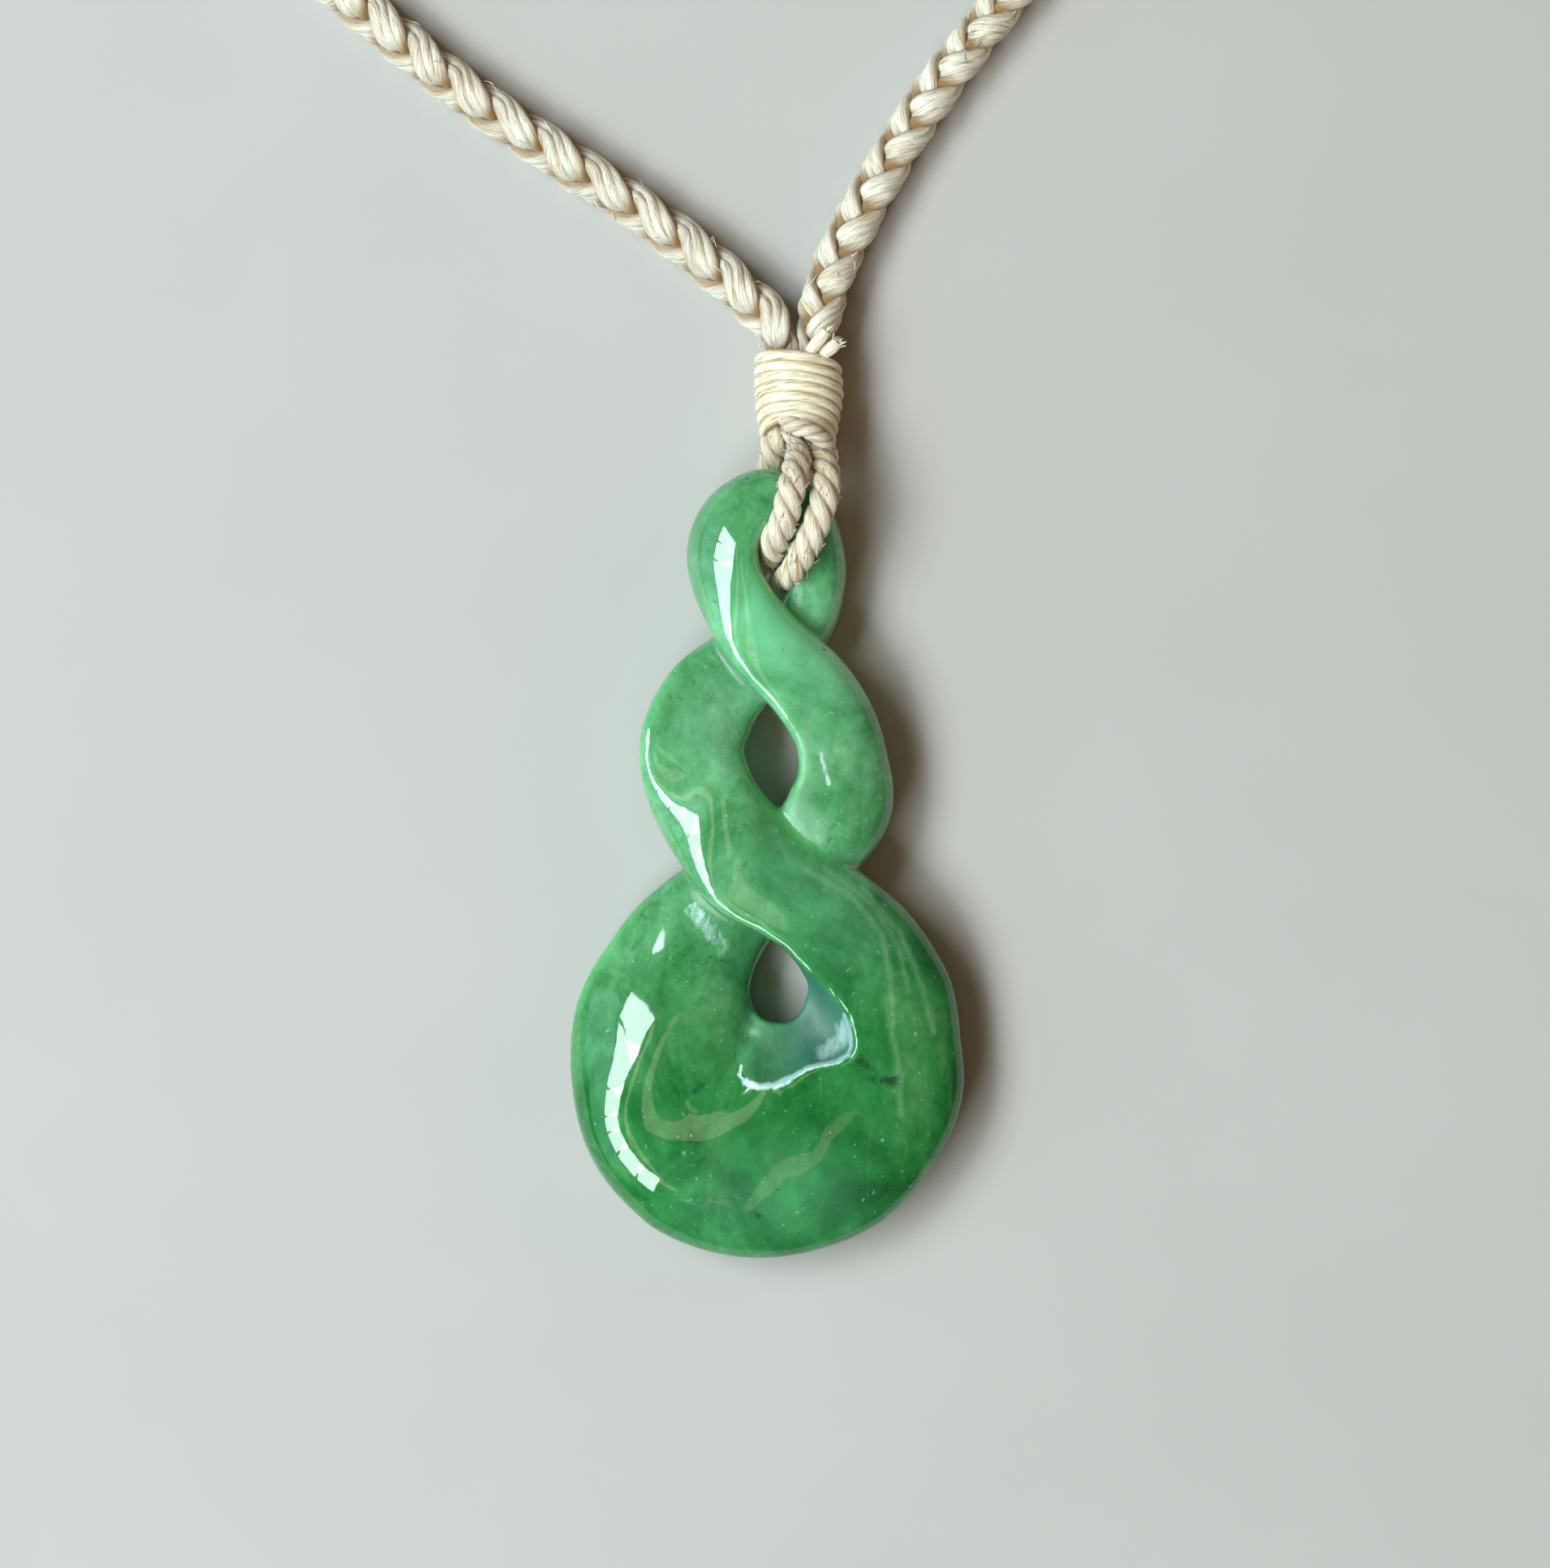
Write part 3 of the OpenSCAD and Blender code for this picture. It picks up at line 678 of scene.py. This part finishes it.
def mix(material, factor, a, b, blend="MIX"):
    """Colour a with colour b over it by factor; each is a value or a node's output."""
    node = add(material, "ShaderNodeMix", data_type="RGBA", blend_type=blend)
    sockets = (node.inputs["Factor"], node.inputs[MIX_A], node.inputs[MIX_B])
    for value, socket in zip((factor, a, b), sockets):
        if isinstance(value, (int, float)):
            socket.default_value = value
        elif isinstance(value, tuple):
            socket.default_value = (*value, 1.0)
        else:
            wire(material, value, socket)
    return node.outputs[MIX_RESULT]


def layered(material, colour, source, layer):
    """The colour with one of the layers over it, where source is high."""
    start, end, most, over = layer
    return mix(material, fade(material, source, start, end, most), colour, over)


def bump(material, shader_node, height, distance, strength=1.0):
    node = add(material, "ShaderNodeBump", Distance=distance, Strength=strength)
    wire(material, height, node.inputs["Height"])
    wire(material, node.outputs["Normal"], shader_node.inputs["Normal"])


def part(material, name):
    """How much of a named share of the mesh there is at the point that is shaded."""
    return add(material, "ShaderNodeAttribute", attribute_name=name).outputs["Fac"]


def place_in(material):
    """The place in the object of the point that is shaded, in metres."""
    return add(material, "ShaderNodeTexCoord").outputs["Object"]


# Materials

def clouded(material, place, dapples):
    """The stone's green: cloudy, paler on its upper limbs and in its paler patches, with painted shade
    towards the right and in patches, and a painted glow at its thin edges.
    """
    clouds = noise(material, place, CLOUDS)
    split = add(material, "ShaderNodeSeparateXYZ")
    wire(material, place, split.inputs["Vector"])
    # Painted shade: the deep green reaches further up on the right, away from the light
    shade_slanted = maths(material, "MULTIPLY_ADD", split.outputs["X"], -PAINTED_SHADE_SLANT, split.outputs["Y"])
    shifted = maths(material, "MULTIPLY_ADD", clouds, PALE_SHIFT * MM, shade_slanted)
    upper = add(material, "ShaderNodeMapRange")
    upper.inputs["From Min"].default_value = PALE_FROM * MM
    upper.inputs["From Max"].default_value = PALE_TO * MM
    wire(material, shifted, upper.inputs["Value"])
    deep = ramp(material, clouds, DEEP_GREENS)
    pale = ramp(material, clouds, PALE_GREENS)
    colour = mix(material, upper.outputs["Result"], deep, pale)
    colour = mix(material, 1.0, colour, ramp(material, dapples, DAPPLE_TONES), "MULTIPLY")
    # Painted glow at thin edges and along edges above the crossings
    colour = layered(material, colour, part(material, "painted_glow"), PAINTED_GLOW_LAYER)
    patches = maths(material, "MULTIPLY", part(material, "paler"), fade(material, clouds, *PATCH_FADE))
    colour = mix(material, patches, colour, PATCH_COLOUR)
    # Painted shade in its patches
    return mix(material, part(material, "painted_shade_patch"), colour, PAINTED_SHADE_GREEN)


def marked(material, place, colour):
    """The colour with veins, dark flecks and pale specks over it."""
    colour = layered(material, colour, noise(material, place, VEINS), VEIN_LAYER)
    flecks = noise(material, place, FLECKS)
    colour = layered(material, colour, flecks, FLECK_LAYER)
    dark = maths(material, "MULTIPLY", part(material, "flecked"), flecks)
    colour = layered(material, colour, dark, DARK_LAYER)
    return layered(material, colour, noise(material, place, SPECKS), SPECK_LAYER)


def greenstone():
    """Polished nephrite: cloudy green with a painted glow where it is thin, painted shade, reflections,
    sheen and highlights, marks in it and dull worn places.
    """
    material, node = shader("greenstone", Roughness=0.05, IOR=1.61, Specular_IOR_Level=0.6,
                            Subsurface_Weight=1.0, Subsurface_Scale=1.1 * MM)
    node.inputs["Subsurface Radius"].default_value = (0.7, 2.2, 1.0)
    place = place_in(material)
    dapples = noise(material, place, DAPPLES)
    strokes = noise(material, place, STROKES)
    colour = marked(material, place, clouded(material, place, dapples))
    # Painted reflection: long pale streaks
    painted_reflection = maths(material, "MULTIPLY", part(material, "painted_reflection"), strokes)
    colour = mix(material, painted_reflection, colour, PAINTED_REFLECTION_COLOUR)
    # Whitish worn places, some of them painted highlights, which are also dull
    worn_and_highlit = fade(material, maths(material, "MULTIPLY", part(material, "frost_and_painted_highlight"), strokes), *WEAR_AND_HIGHLIGHT_FADE)
    colour = mix(material, worn_and_highlit, colour, WEAR_AND_HIGHLIGHT_COLOUR)
    # Painted sheen: the bowl's blurred reflection of the window
    sheen_mask = maths(material, "MULTIPLY", part(material, "painted_sheen"), strokes)
    colour = layered(material, colour, sheen_mask, PAINTED_SHEEN_LAYER)
    wire(material, colour, node.inputs["Base Color"])
    dull = maths(material, "MAXIMUM", part(material, "matt"), worn_and_highlit)
    rough = maths(material, "MULTIPLY", dull, MATT_ROUGHNESS)
    uneven = maths(material, "MULTIPLY", dapples, DAPPLE_ROUGHNESS)
    wire(material, maths(material, "ADD", uneven, rough), node.inputs["Roughness"])
    swells = noise(material, place, SWELLS)
    ripples = noise(material, place, RIPPLES)
    relief = maths(material, "MULTIPLY_ADD", ripples, RIPPLE_SHARE, swells)
    bump(material, node, relief, STONE_RELIEF * MM)
    return material


def fibre(name, light, dark, fine, roughness, relief, sheen):
    """Waxed plant fibre: fine lines along the thread, with painted golden shade where it goes under or meets
    another.
    """
    material, node = shader(name, Roughness=roughness, Sheen_Weight=sheen, Sheen_Roughness=0.4,
                            Subsurface_Weight=0.2, Subsurface_Scale=0.2 * MM)
    node.inputs["Subsurface Radius"].default_value = (1.0, 0.7, 0.4)
    along = add(material, "ShaderNodeUVMap", uv_map="along").outputs["UV"]
    lines = noise(material, along, ((5.0 * fine, 0.4, 1), 4.0, 0.7, 0.2))
    gaps = noise(material, along, ((13.0 * fine, 0.7, 1), 2.0, 0.6, 0.1))
    broad = noise(material, along, ((1.1, 0.3, 1), 2.0, 0.5, 0.0))
    bright = tuple(min(1, c * FIBRE_BRIGHT) for c in light)
    colour = ramp(material, lines, ((0.32, dark), (0.47, light), (0.72, bright)))
    colour = mix(material, FIBRE_GAPS, colour, ramp(material, gaps, FIBRE_GAP_TONES), "MULTIPLY")
    colour = mix(material, fade(material, broad, *BROAD_FADE), colour, dark)
    painted_shade_colour = tuple(c * k for c, k in zip(dark, PAINTED_SHADE_TONE))
    # Painted shade, golden, in the grooves and where threads go under, with the plies' small tone
    # differences
    colour = mix(material, part(material, "shade"), colour, painted_shade_colour)
    wire(material, colour, node.inputs["Base Color"])
    bump(material, node, maths(material, "ADD", lines, gaps), relief * MM)
    return material


def bone():
    """Polished bone: cream with faint long grain and pores."""
    material, node = shader("bone_finish", Roughness=0.3, Subsurface_Weight=0.4, Subsurface_Scale=1.0 * MM)
    grain = noise(material, place_in(material), BONE_GRAIN)
    wire(material, ramp(material, grain, BONE_TONES), node.inputs["Base Color"])
    bump(material, node, grain, 0.02 * MM, 0.5)
    return material


def floor_finish():
    """A pale, dull table top with a faint mottle."""
    material, node = shader("floor_finish", Roughness=0.75)
    mottle = noise(material, place_in(material), TABLE_MOTTLE)
    wire(material, ramp(material, mottle, TABLE_TONES), node.inputs["Base Color"])
    return material


# Stage

def camera():
    data = bpy.data.cameras.new("camera")
    data.sensor_width = SENSOR_MM
    data.sensor_fit = "HORIZONTAL"
    data.lens = SENSOR_MM * (CAMERA_HEIGHT - PHOTO_PLANE) / PHOTO_WIDTH
    data.clip_start = CLIP_START * MM
    data.dof.use_dof = False
    obj = bpy.data.objects.new("camera", data)
    obj.location = (np.array([*PHOTO_CENTRE, CAMERA_HEIGHT]) + FOOT) * MM
    bpy.context.scene.collection.objects.link(obj)
    bpy.context.scene.camera = obj


def card(name, colour, azimuth, elevation, width, height, brightness, turn=0, mirrored=True):
    """An area light that faces the stone; its brightness is 1 for a white card in full light."""
    data = bpy.data.lights.new(name, "AREA")
    data.shape = "RECTANGLE"
    data.size, data.size_y = width * MM, height * MM
    data.energy = math.pi * brightness * data.size * data.size_y
    data.color = colour
    obj = bpy.data.objects.new(name, data)
    az, el = math.radians(azimuth), math.radians(elevation)
    away = Vector((math.cos(az) * math.cos(el), math.sin(az) * math.cos(el), math.sin(el)))
    obj.location = Vector((LIGHT_TARGET + FOOT) * MM) + away * LIGHT_DISTANCE * MM
    facing = (-away).to_track_quat("-Z", "Y") @ Quaternion((0, 0, 1), math.radians(turn))
    obj.rotation_euler = facing.to_euler()
    obj.visible_glossy = mirrored
    bpy.context.scene.collection.objects.link(obj)


def table_top():
    left, low, right, high = TABLE
    corners = [[left, low, 0], [right, low, 0], [right, high, 0], [left, high, 0]]
    floor = mesh_object("floor", corners, [[0, 1, 2, 3]], floor_finish())
    floor.location.z = -TABLE_DROP * MM


def lights():
    for k, (elevation, height) in enumerate(PANES):
        azimuth = PANE_FIRST + PANE_STEP * k
        card(f"pane_{k}", PANE_COLOUR, azimuth, elevation, PANE_WIDTH, height, PANE_BRIGHTNESS)
    for k, row in enumerate(CEILING):
        card(f"ceiling_{k}", CEILING_COLOUR, *row)
    card("haze", HAZE_COLOUR, *HAZE)
    card("fill", FILL_COLOUR, *FILL, mirrored=False)
    world = bpy.data.worlds.new("room")
    world.use_nodes = True
    backing = world.node_tree.nodes["Background"]
    backing.inputs["Color"].default_value = (*ROOM_COLOUR, 1)
    backing.inputs["Strength"].default_value = ROOM_STRENGTH
    bpy.context.scene.world = world
    bpy.context.scene.view_settings.view_transform = "Standard"


# Stone

def band_sweep():
    """Points and faces of the closed band, which crosses itself and is fused afterwards."""
    rows = between(BAND, BAND_STEPS, closed=True)
    ahead = np.roll(rows, -1, axis=0) - np.roll(rows, 1, axis=0)
    across = unit(np.stack([ahead[:, 1], -ahead[:, 0], np.zeros(len(rows))], axis=1))
    a = np.linspace(0, 2 * math.pi, SECTION_SAMPLES)
    square = np.where(np.cos(a) > 0, rows[:, 6:7], rows[:, 7:8])
    u = np.sign(np.cos(a)) * np.abs(np.cos(a)) ** (2 / square)
    v = np.sign(np.sin(a)) * np.abs(np.sin(a)) ** (2 / square)
    u = rows[:, 3:4] * (u + rows[:, 5:6] * (1 - u**2))
    v = rows[:, 4:5] * v + rows[:, 8:9] * u
    rings = []
    for place, out, x, z in zip(rows[:, :3], across, u, v):
        gone = np.concatenate([[0], np.cumsum(np.hypot(np.diff(x), np.diff(z)))])
        at = np.linspace(0, gone[-1], BAND_SIDES, endpoint=False)
        x, z = np.interp(at, gone, x), np.interp(at, gone, z)
        rings.append(place + out * x[:, None] + UP * z[:, None])
    return np.concatenate(rings), quads(len(rows), BAND_SIDES, loop=True)


def fuse(obj):
    """Makes one skin of the parts of a mesh that run through each other."""
    remesh = obj.modifiers.new("fuse", "REMESH")
    remesh.mode = "VOXEL"
    remesh.voxel_size = VOXEL * MM
    remesh.use_smooth_shade = True
    bake(obj)


def bowl_cutter():
    """Points and faces of the solid that cuts the bowl and the eye, from below the stone to above it."""
    rows = between(EYE, EYE_STEPS, closed=True)
    eye, rim, late = rows[:, :3], rows[:, 3:6], rows[:, 6]
    rings = [eye * LEVEL + CUTTER_FOOT * UP]
    for s in np.linspace(0, 1, BOWL_STEPS + 1):
        ring = eye + (rim - eye) * s
        ring[:, 2] = eye[:, 2] + (rim[:, 2] - eye[:, 2]) * s**late
        rings.append(ring)
    away = unit((rim - eye) * LEVEL)
    rings.append(rim + away * CUTTER_LIP_OUT + CUTTER_LIP * UP)
    rings.append((rim + away * CUTTER_TOP_OUT) * LEVEL + CUTTER_TOP * UP)
    return np.concatenate(rings), drum(len(rings), len(rows))


def sill(first):
    """Points and faces of the ellipsoid EYE_SILL; its faces count its points from first."""
    a = np.linspace(0, 2 * math.pi, SILL_SIDES, endpoint=False)
    down = np.linspace(SILL_POLE, math.pi - SILL_POLE, SILL_RINGS)
    ball = np.stack([np.outer(np.sin(down), np.cos(a)), np.outer(np.sin(down), np.sin(a)),
                     np.outer(np.cos(down), np.ones(SILL_SIDES))], axis=-1)
    middle, radii = EYE_SILL
    faces = [face[::-1] for face in drum(SILL_RINGS, SILL_SIDES, first)]
    return (np.array(middle) + ball * radii).reshape(-1, 3), faces


def stone_body(material):
    """The band and the sill as one solid, with the bowl cut out of it, polished."""
    points, faces = band_sweep()
    more_points, more_faces = sill(len(points))
    obj = mesh_object("stone", np.concatenate([points, more_points]), faces + more_faces, material)
    fuse(obj)
    cutter = mesh_object("bowl_cutter", *bowl_cutter(), material)
    cut = obj.modifiers.new("bowl", "BOOLEAN")
    cut.operation = "DIFFERENCE"
    cut.solver = "EXACT"
    cut.object = cutter
    bake(obj)
    bpy.data.objects.remove(cutter)
    fuse(obj)
    smooth = obj.modifiers.new("polish", "SMOOTH")
    smooth.factor = POLISH_FACTOR
    smooth.iterations = POLISH_PASSES
    bake(obj)
    return obj


def thinness(mesh):
    """How thin the stone is under each point: 1 at a thin edge, towards 0 where it is deep."""
    tree = BVHTree.FromPolygons([v.co for v in mesh.vertices], [p.vertices for p in mesh.polygons])
    values = []
    for vertex in mesh.vertices:
        inward = -vertex.normal
        start = vertex.co + inward * SKIN_DEPTH * MM
        near = tree.ray_cast(start, inward)[3]
        below = tree.ray_cast(start, (inward + Vector((0, 0, -1))).normalized())[3]
        depth = min(near or 0, below or 0) / MM
        values.append(math.exp(-depth / GLOW_DEPTH))
    return values


def near_lines(points, table):
    """How near each point is to the lines of one of the stone's tables of places, times their strength."""
    share = np.zeros(len(points))
    for half_width, strength, line in table:
        line = np.array(line)
        for a, b in zip(line[:-1], line[1:]):
            t = np.clip((points - a) @ (b - a) / ((b - a) @ (b - a)), 0, 1)
            away = np.linalg.norm(points - a - t[:, None] * (b - a), axis=1)
            share = np.maximum(share, strength * np.exp(-(away / half_width) ** 2))
    return share


def in_bowl(points):
    """1 for the points on the bowl, inside its rim and on the upper side, else 0."""
    rim = between(EYE, EYE_STEPS, closed=True)[:, 3:5]
    inside = np.zeros(len(points), bool)
    for (ax, ay), (bx, by) in zip(rim, np.roll(rim, -1, axis=0)):
        crosses = (ay > points[:, 1]) != (by > points[:, 1])
        if ay != by:
            inside ^= crosses & (points[:, 0] < ax + (points[:, 1] - ay) / (by - ay) * (bx - ax))
    return (inside & (points[:, 2] > BOWL_LOW)).astype(float)


def stone_shares(mesh):
    """Shares that the stone's material reads, each with a value for every point of the mesh."""
    places = np.array([v.co for v in mesh.vertices]) / MM - FOOT
    plan = places[:, :2]
    high = places[:, 2] > HIGH_FROM
    bowl = in_bowl(places)
    return {
        # Painted glow: thin stone, and edges above the crossings
        "painted_glow": np.maximum(thinness(mesh), near_lines(plan, PAINTED_GLOW_EDGES) * high),
        "frost_and_painted_highlight": near_lines(plan, FROST_AND_PAINTED_HIGHLIGHTS) * high,
        "matt": np.maximum(near_lines(plan, MATT), bowl),
        "painted_sheen": bowl * np.clip((places[:, 0] - SHEEN_FROM) / (SHEEN_TO - SHEEN_FROM), 0, 1),
        "paler": near_lines(plan, PALER),
        "painted_shade_patch": near_lines(plan, PAINTED_SHADE_PATCHES),
        "flecked": near_lines(plan, FLECKED),
        "painted_reflection": near_lines(plan, PAINTED_REFLECTION_STREAKS) * (1 - bowl),
    }


def stone(material):
    obj = stone_body(material)
    for name, values in stone_shares(obj.data).items():
        obj.data.attributes.new(name, "FLOAT", "POINT").data.foreach_set("value", values)
    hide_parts("pendant")
    return obj


# Cords

def plait(tubes, route, period, roll, start, rng):
    """Strands of threads that pass over each other in turn; roll turns the plait about its run."""
    rows, gone = evenly(route, PLAIT_STEP)
    points, size = rows[:, :3], rows[:, 3]
    _, side, top = frames(points, UP)
    roll = np.radians(roll + wander(gone, ROLL_WANDER, start))
    beat = gone / period + wander(gone, BEAT_WANDER, start)
    blur = 2 * FACE_BLUR + 1

    def placed(x, z):
        x, z = x * np.cos(roll) + z * np.sin(roll), z * np.cos(roll) - x * np.sin(roll)
        return side * x[:, None] + top * z[:, None]

    for strand in range(STRANDS):
        phase = 2 * math.pi * (beat + strand / STRANDS) + start
        x = PLAIT_WIDE * np.sin(phase)
        z = PLAIT_DEEP * np.sin(2 * phase)
        face = np.interp(np.degrees(phase) % 360, FACE_AT, FACE_TURN)
        face = np.convolve(np.pad(face, FACE_BLUR, mode="edge"), np.ones(blur) / blur, mode="valid")
        face = np.radians(face)
        # Painted shade where the strand dives under the others
        painted_dive_shade = DIVE_PAINTED_SHADE * np.clip(DIVE_START - np.hypot(x, z) / DIVE_NEAR, 0, 1) ** DIVE_POWER
        for thread in THREADS:
            gap = THREAD_GAP * thread + wander(gone, GAP_WANDER, 2.1 * thread + strand)
            across = gap + rng.normal(0, GAP_CHANCE)
            rise = THREAD_RISE * (1 - abs(thread))
            px = x - np.sin(face) * across + np.cos(face) * rise
            pz = z + np.cos(face) * across + np.sin(face) * rise
            radius = THREAD_RADIUS * size * (1 + wander(gone, SWELL_WANDER, 3 * thread + strand))
            tubes.add(points + placed(px, pz) * size[:, None], placed(np.cos(face), np.sin(face)),
                      radius * THREAD_FLAT[0], radius * THREAD_FLAT[1], shade=painted_dive_shade,
                      turn=THREAD_TURN * (strand - 1), groove=THREAD_GROOVE_SHADE)


def twist(tubes, route, radius, step, lay, up, start=0.0):
    """Plies that wind round each other along a route, like those of a twisted cord."""
    rows, gone = evenly(route, step)
    _, side, top = frames(rows[:, :3], up)
    size = radius * rows[:, 3]
    for ply in range(PLIES):
        a = 2 * math.pi * (gone / lay + ply / PLIES) + start
        out = side * np.cos(a)[:, None] + top * np.sin(a)[:, None]
        tubes.add(rows[:, :3] + out * (PLY_OUT * size)[:, None], out, PLY_FLAT[0] * size, PLY_FLAT[1] * size,
                  shade=PLY_TONE * ply, sides=PLY_SIDES, turn=PLY_TURN, groove=PLY_GROOVE_SHADE)


def hairs(tubes, route, reach, count, longest, rng, up=UP):
    """Stray fibres that stand off a cord of radius reach."""
    rows, _ = evenly(route, HAIR_STEP)
    forward, side, top = frames(rows[:, :3], up)
    t = np.linspace(0, 1, HAIR_POINTS)[:, None]
    for _ in range(count):
        i = rng.integers(3, len(rows) - 3)
        a = rng.uniform(0, 2 * math.pi)
        out = side[i] * math.cos(a) + top[i] * math.sin(a)
        if out[2] < HAIR_LOWEST:
            continue
        length = rng.uniform(*HAIR_LENGTHS) * longest
        lean = rng.choice((-1, 1)) * rng.uniform(*HAIR_LEANS)
        sway = np.cross(forward[i], out) * rng.uniform(*HAIR_SWAYS)
        stand = reach * rows[i, 3] * HAIR_ROOT + length * HAIR_RISE * t * (1.3 - 0.6 * t)
        path = rows[i, :3] + out * stand + (forward[i] * lean + sway * t) * length * HAIR_RUN * t
        tubes.add(path, np.tile(out + 0.01, (HAIR_POINTS, 1)), HAIR_RADIUS * (1.2 - 0.7 * t[:, 0]),
                  HAIR_RADIUS, sides=4)


def whip_size(share, sizes):
    """Width or depth of the whipping at a share of its length from the foot."""
    foot, belly, head = sizes
    low = np.maximum(0, WHIP_BELLY - share) / WHIP_BELLY
    high = np.maximum(0, share - WHIP_BELLY) / (1 - WHIP_BELLY)
    return belly - (belly - foot) * low ** WHIP_TAPER - (belly - head) * high ** WHIP_TAPER


def whipping(tubes):
    """One thread wound from the whipping's head down to its foot."""
    turns = WHIP_TURNS - WHIP_RUN_OUT
    turn = np.linspace(0, turns, int(turns * WRAP_STEPS))
    a = -math.pi / 2 - 2 * math.pi * turn
    share = 1 - (turn + 0.5) / WHIP_TURNS
    uneven, beat = WHIP_UNEVEN
    half = whip_size(share, WHIP_WIDE) / 2 - WRAP_RADIUS + uneven * np.sin(turn * beat)
    deep = whip_size(share, WHIP_DEEP) / 2 - WRAP_RADIUS
    bow = np.interp(share, (0, 1), WHIP_BOW) * np.where(np.sin(a) > 0, 1, WHIP_BOW_UNDER) * np.sin(a)
    y = WHIP_LENGTH * share + bow - np.interp(share, (0, 1), WHIP_SLOPE) * np.cos(a)
    z = WHIP_FOOT[2] + (WHIP_HEAD_Z - WHIP_FOOT[2]) * share
    centres = np.stack([WHIP_FOOT[0] + half * np.cos(a), WHIP_FOOT[1] + y, z + deep * np.sin(a)], axis=1)
    out = np.stack([np.cos(a), 0 * a, np.sin(a)], axis=1)
    tubes.add(centres, out, WRAP_RADIUS * WRAP_FLAT[0], WRAP_RADIUS * WRAP_FLAT[1], sides=WRAP_SIDES,
              turn=WRAP_TURN, groove=WRAP_GROOVE_SHADE)


def tail(tubes, route, fray, rng):
    """A cut thread end, flat, with fray fibres that spread from its tip."""
    rows, _ = evenly(route, TAIL_STEP)
    size = rows[:, 3]
    tubes.add(rows[:, :3], np.tile(TAIL_OUT, (len(rows), 1)), TAIL_FLAT[0] * size, TAIL_FLAT[1] * size,
              sides=TAIL_SIDES)
    tip, run = rows[-1, :3], unit(rows[-1, :3] - rows[-4, :3])
    side = unit(np.cross(run, UP))
    t = np.linspace(0, 1, HAIR_POINTS)[:, None]
    for _ in range(fray):
        spread = rng.uniform(-1, 1)
        start = tip - run * FRAY_BACK + side * FRAY_WIDE * spread + rng.uniform(*FRAY_HEIGHTS) * UP
        forward = run * t * rng.uniform(*FRAY_LENGTHS)
        lift = rng.uniform(*FRAY_LIFTS) * UP * t**2
        path = start + forward + side * spread * FRAY_SPREAD * t**1.6 + lift
        tubes.add(path, np.tile([0, 0.02, 1.0], (HAIR_POINTS, 1)), FRAY_FLAT[0] * (1.2 - 0.6 * t[:, 0]),
                  FRAY_FLAT[1], sides=5)


def cord_piece(name, tubes, material, node=None):
    obj = tubes.build(name, material)
    if node:
        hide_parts(node)
    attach(obj, "root")


def plaits(rng):
    plaited = fibre("plaited_finish", *PLAITED)
    for name, route, period, roll, start in PLAITS:
        tubes = Tubes()
        plait(tubes, route, period, roll, start, rng)
        hairs(tubes, route, PLAIT_REACH, PLAIT_HAIRS, PLAIT_HAIR, rng)
        cord_piece(f"plait_{name}", tubes, plaited, f"braid_{name}")


def bails(plied, rng):
    for name, route, start in BAILS:
        tubes = Tubes()
        twist(tubes, route, BAIL_RADIUS, BAIL_STEP, BAIL_LAY, BAIL_UP, start)
        hairs(tubes, route, BAIL_RADIUS, BAIL_HAIRS, BAIL_HAIR, rng, BAIL_UP)
        cord_piece(f"bail_{name}", tubes, plied, f"bail_turn_{name}")


def wraps(waxed, plied):
    """The whipping, and the plied cord that is its last wrap."""
    tubes = Tubes()
    whipping(tubes)
    cord_piece("wraps", tubes, waxed, "whipping")
    tubes = Tubes()
    twist(tubes, LAST_WRAP, LAST_WRAP_RADIUS, LAST_WRAP_STEP, LAST_WRAP_LAY, LAST_WRAP_UP)
    cord_piece("last_wrap", tubes, plied)


def tails(waxed, rng):
    for name, route, fray in TAILS:
        tubes = Tubes()
        tail(tubes, route, fray, rng)
        cord_piece(f"thread_end_{name}", tubes, waxed, f"tail_end_{name}")


def cords():
    rng = np.random.default_rng(SEED)
    plied = fibre("plied_finish", *PLIED)
    waxed = fibre("waxed_finish", *WAXED)
    plaits(rng)
    bails(plied, rng)
    wraps(waxed, plied)
    tails(waxed, rng)


def barrel(node, material):
    """Gives the bone barrel its finish and rounds its edges."""
    node.data.materials.clear()
    node.data.materials.append(material)
    bevel = node.modifiers.new("eased_edges", "BEVEL")
    bevel.width = BEVEL_WIDTH * MM
    bevel.segments = BEVEL_SEGMENTS
    bevel.limit_method = "ANGLE"
    bevel.angle_limit = math.radians(BEVEL_ANGLE)


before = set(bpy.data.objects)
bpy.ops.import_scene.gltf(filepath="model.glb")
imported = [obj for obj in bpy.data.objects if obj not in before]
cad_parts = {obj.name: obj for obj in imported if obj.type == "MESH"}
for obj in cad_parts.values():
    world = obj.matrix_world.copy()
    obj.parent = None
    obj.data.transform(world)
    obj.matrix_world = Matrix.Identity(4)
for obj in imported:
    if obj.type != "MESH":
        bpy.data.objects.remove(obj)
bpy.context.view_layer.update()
camera()
table_top()
lights()
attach(stone(greenstone()), "root")
cords()
barrel(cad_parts["closure"], bone())
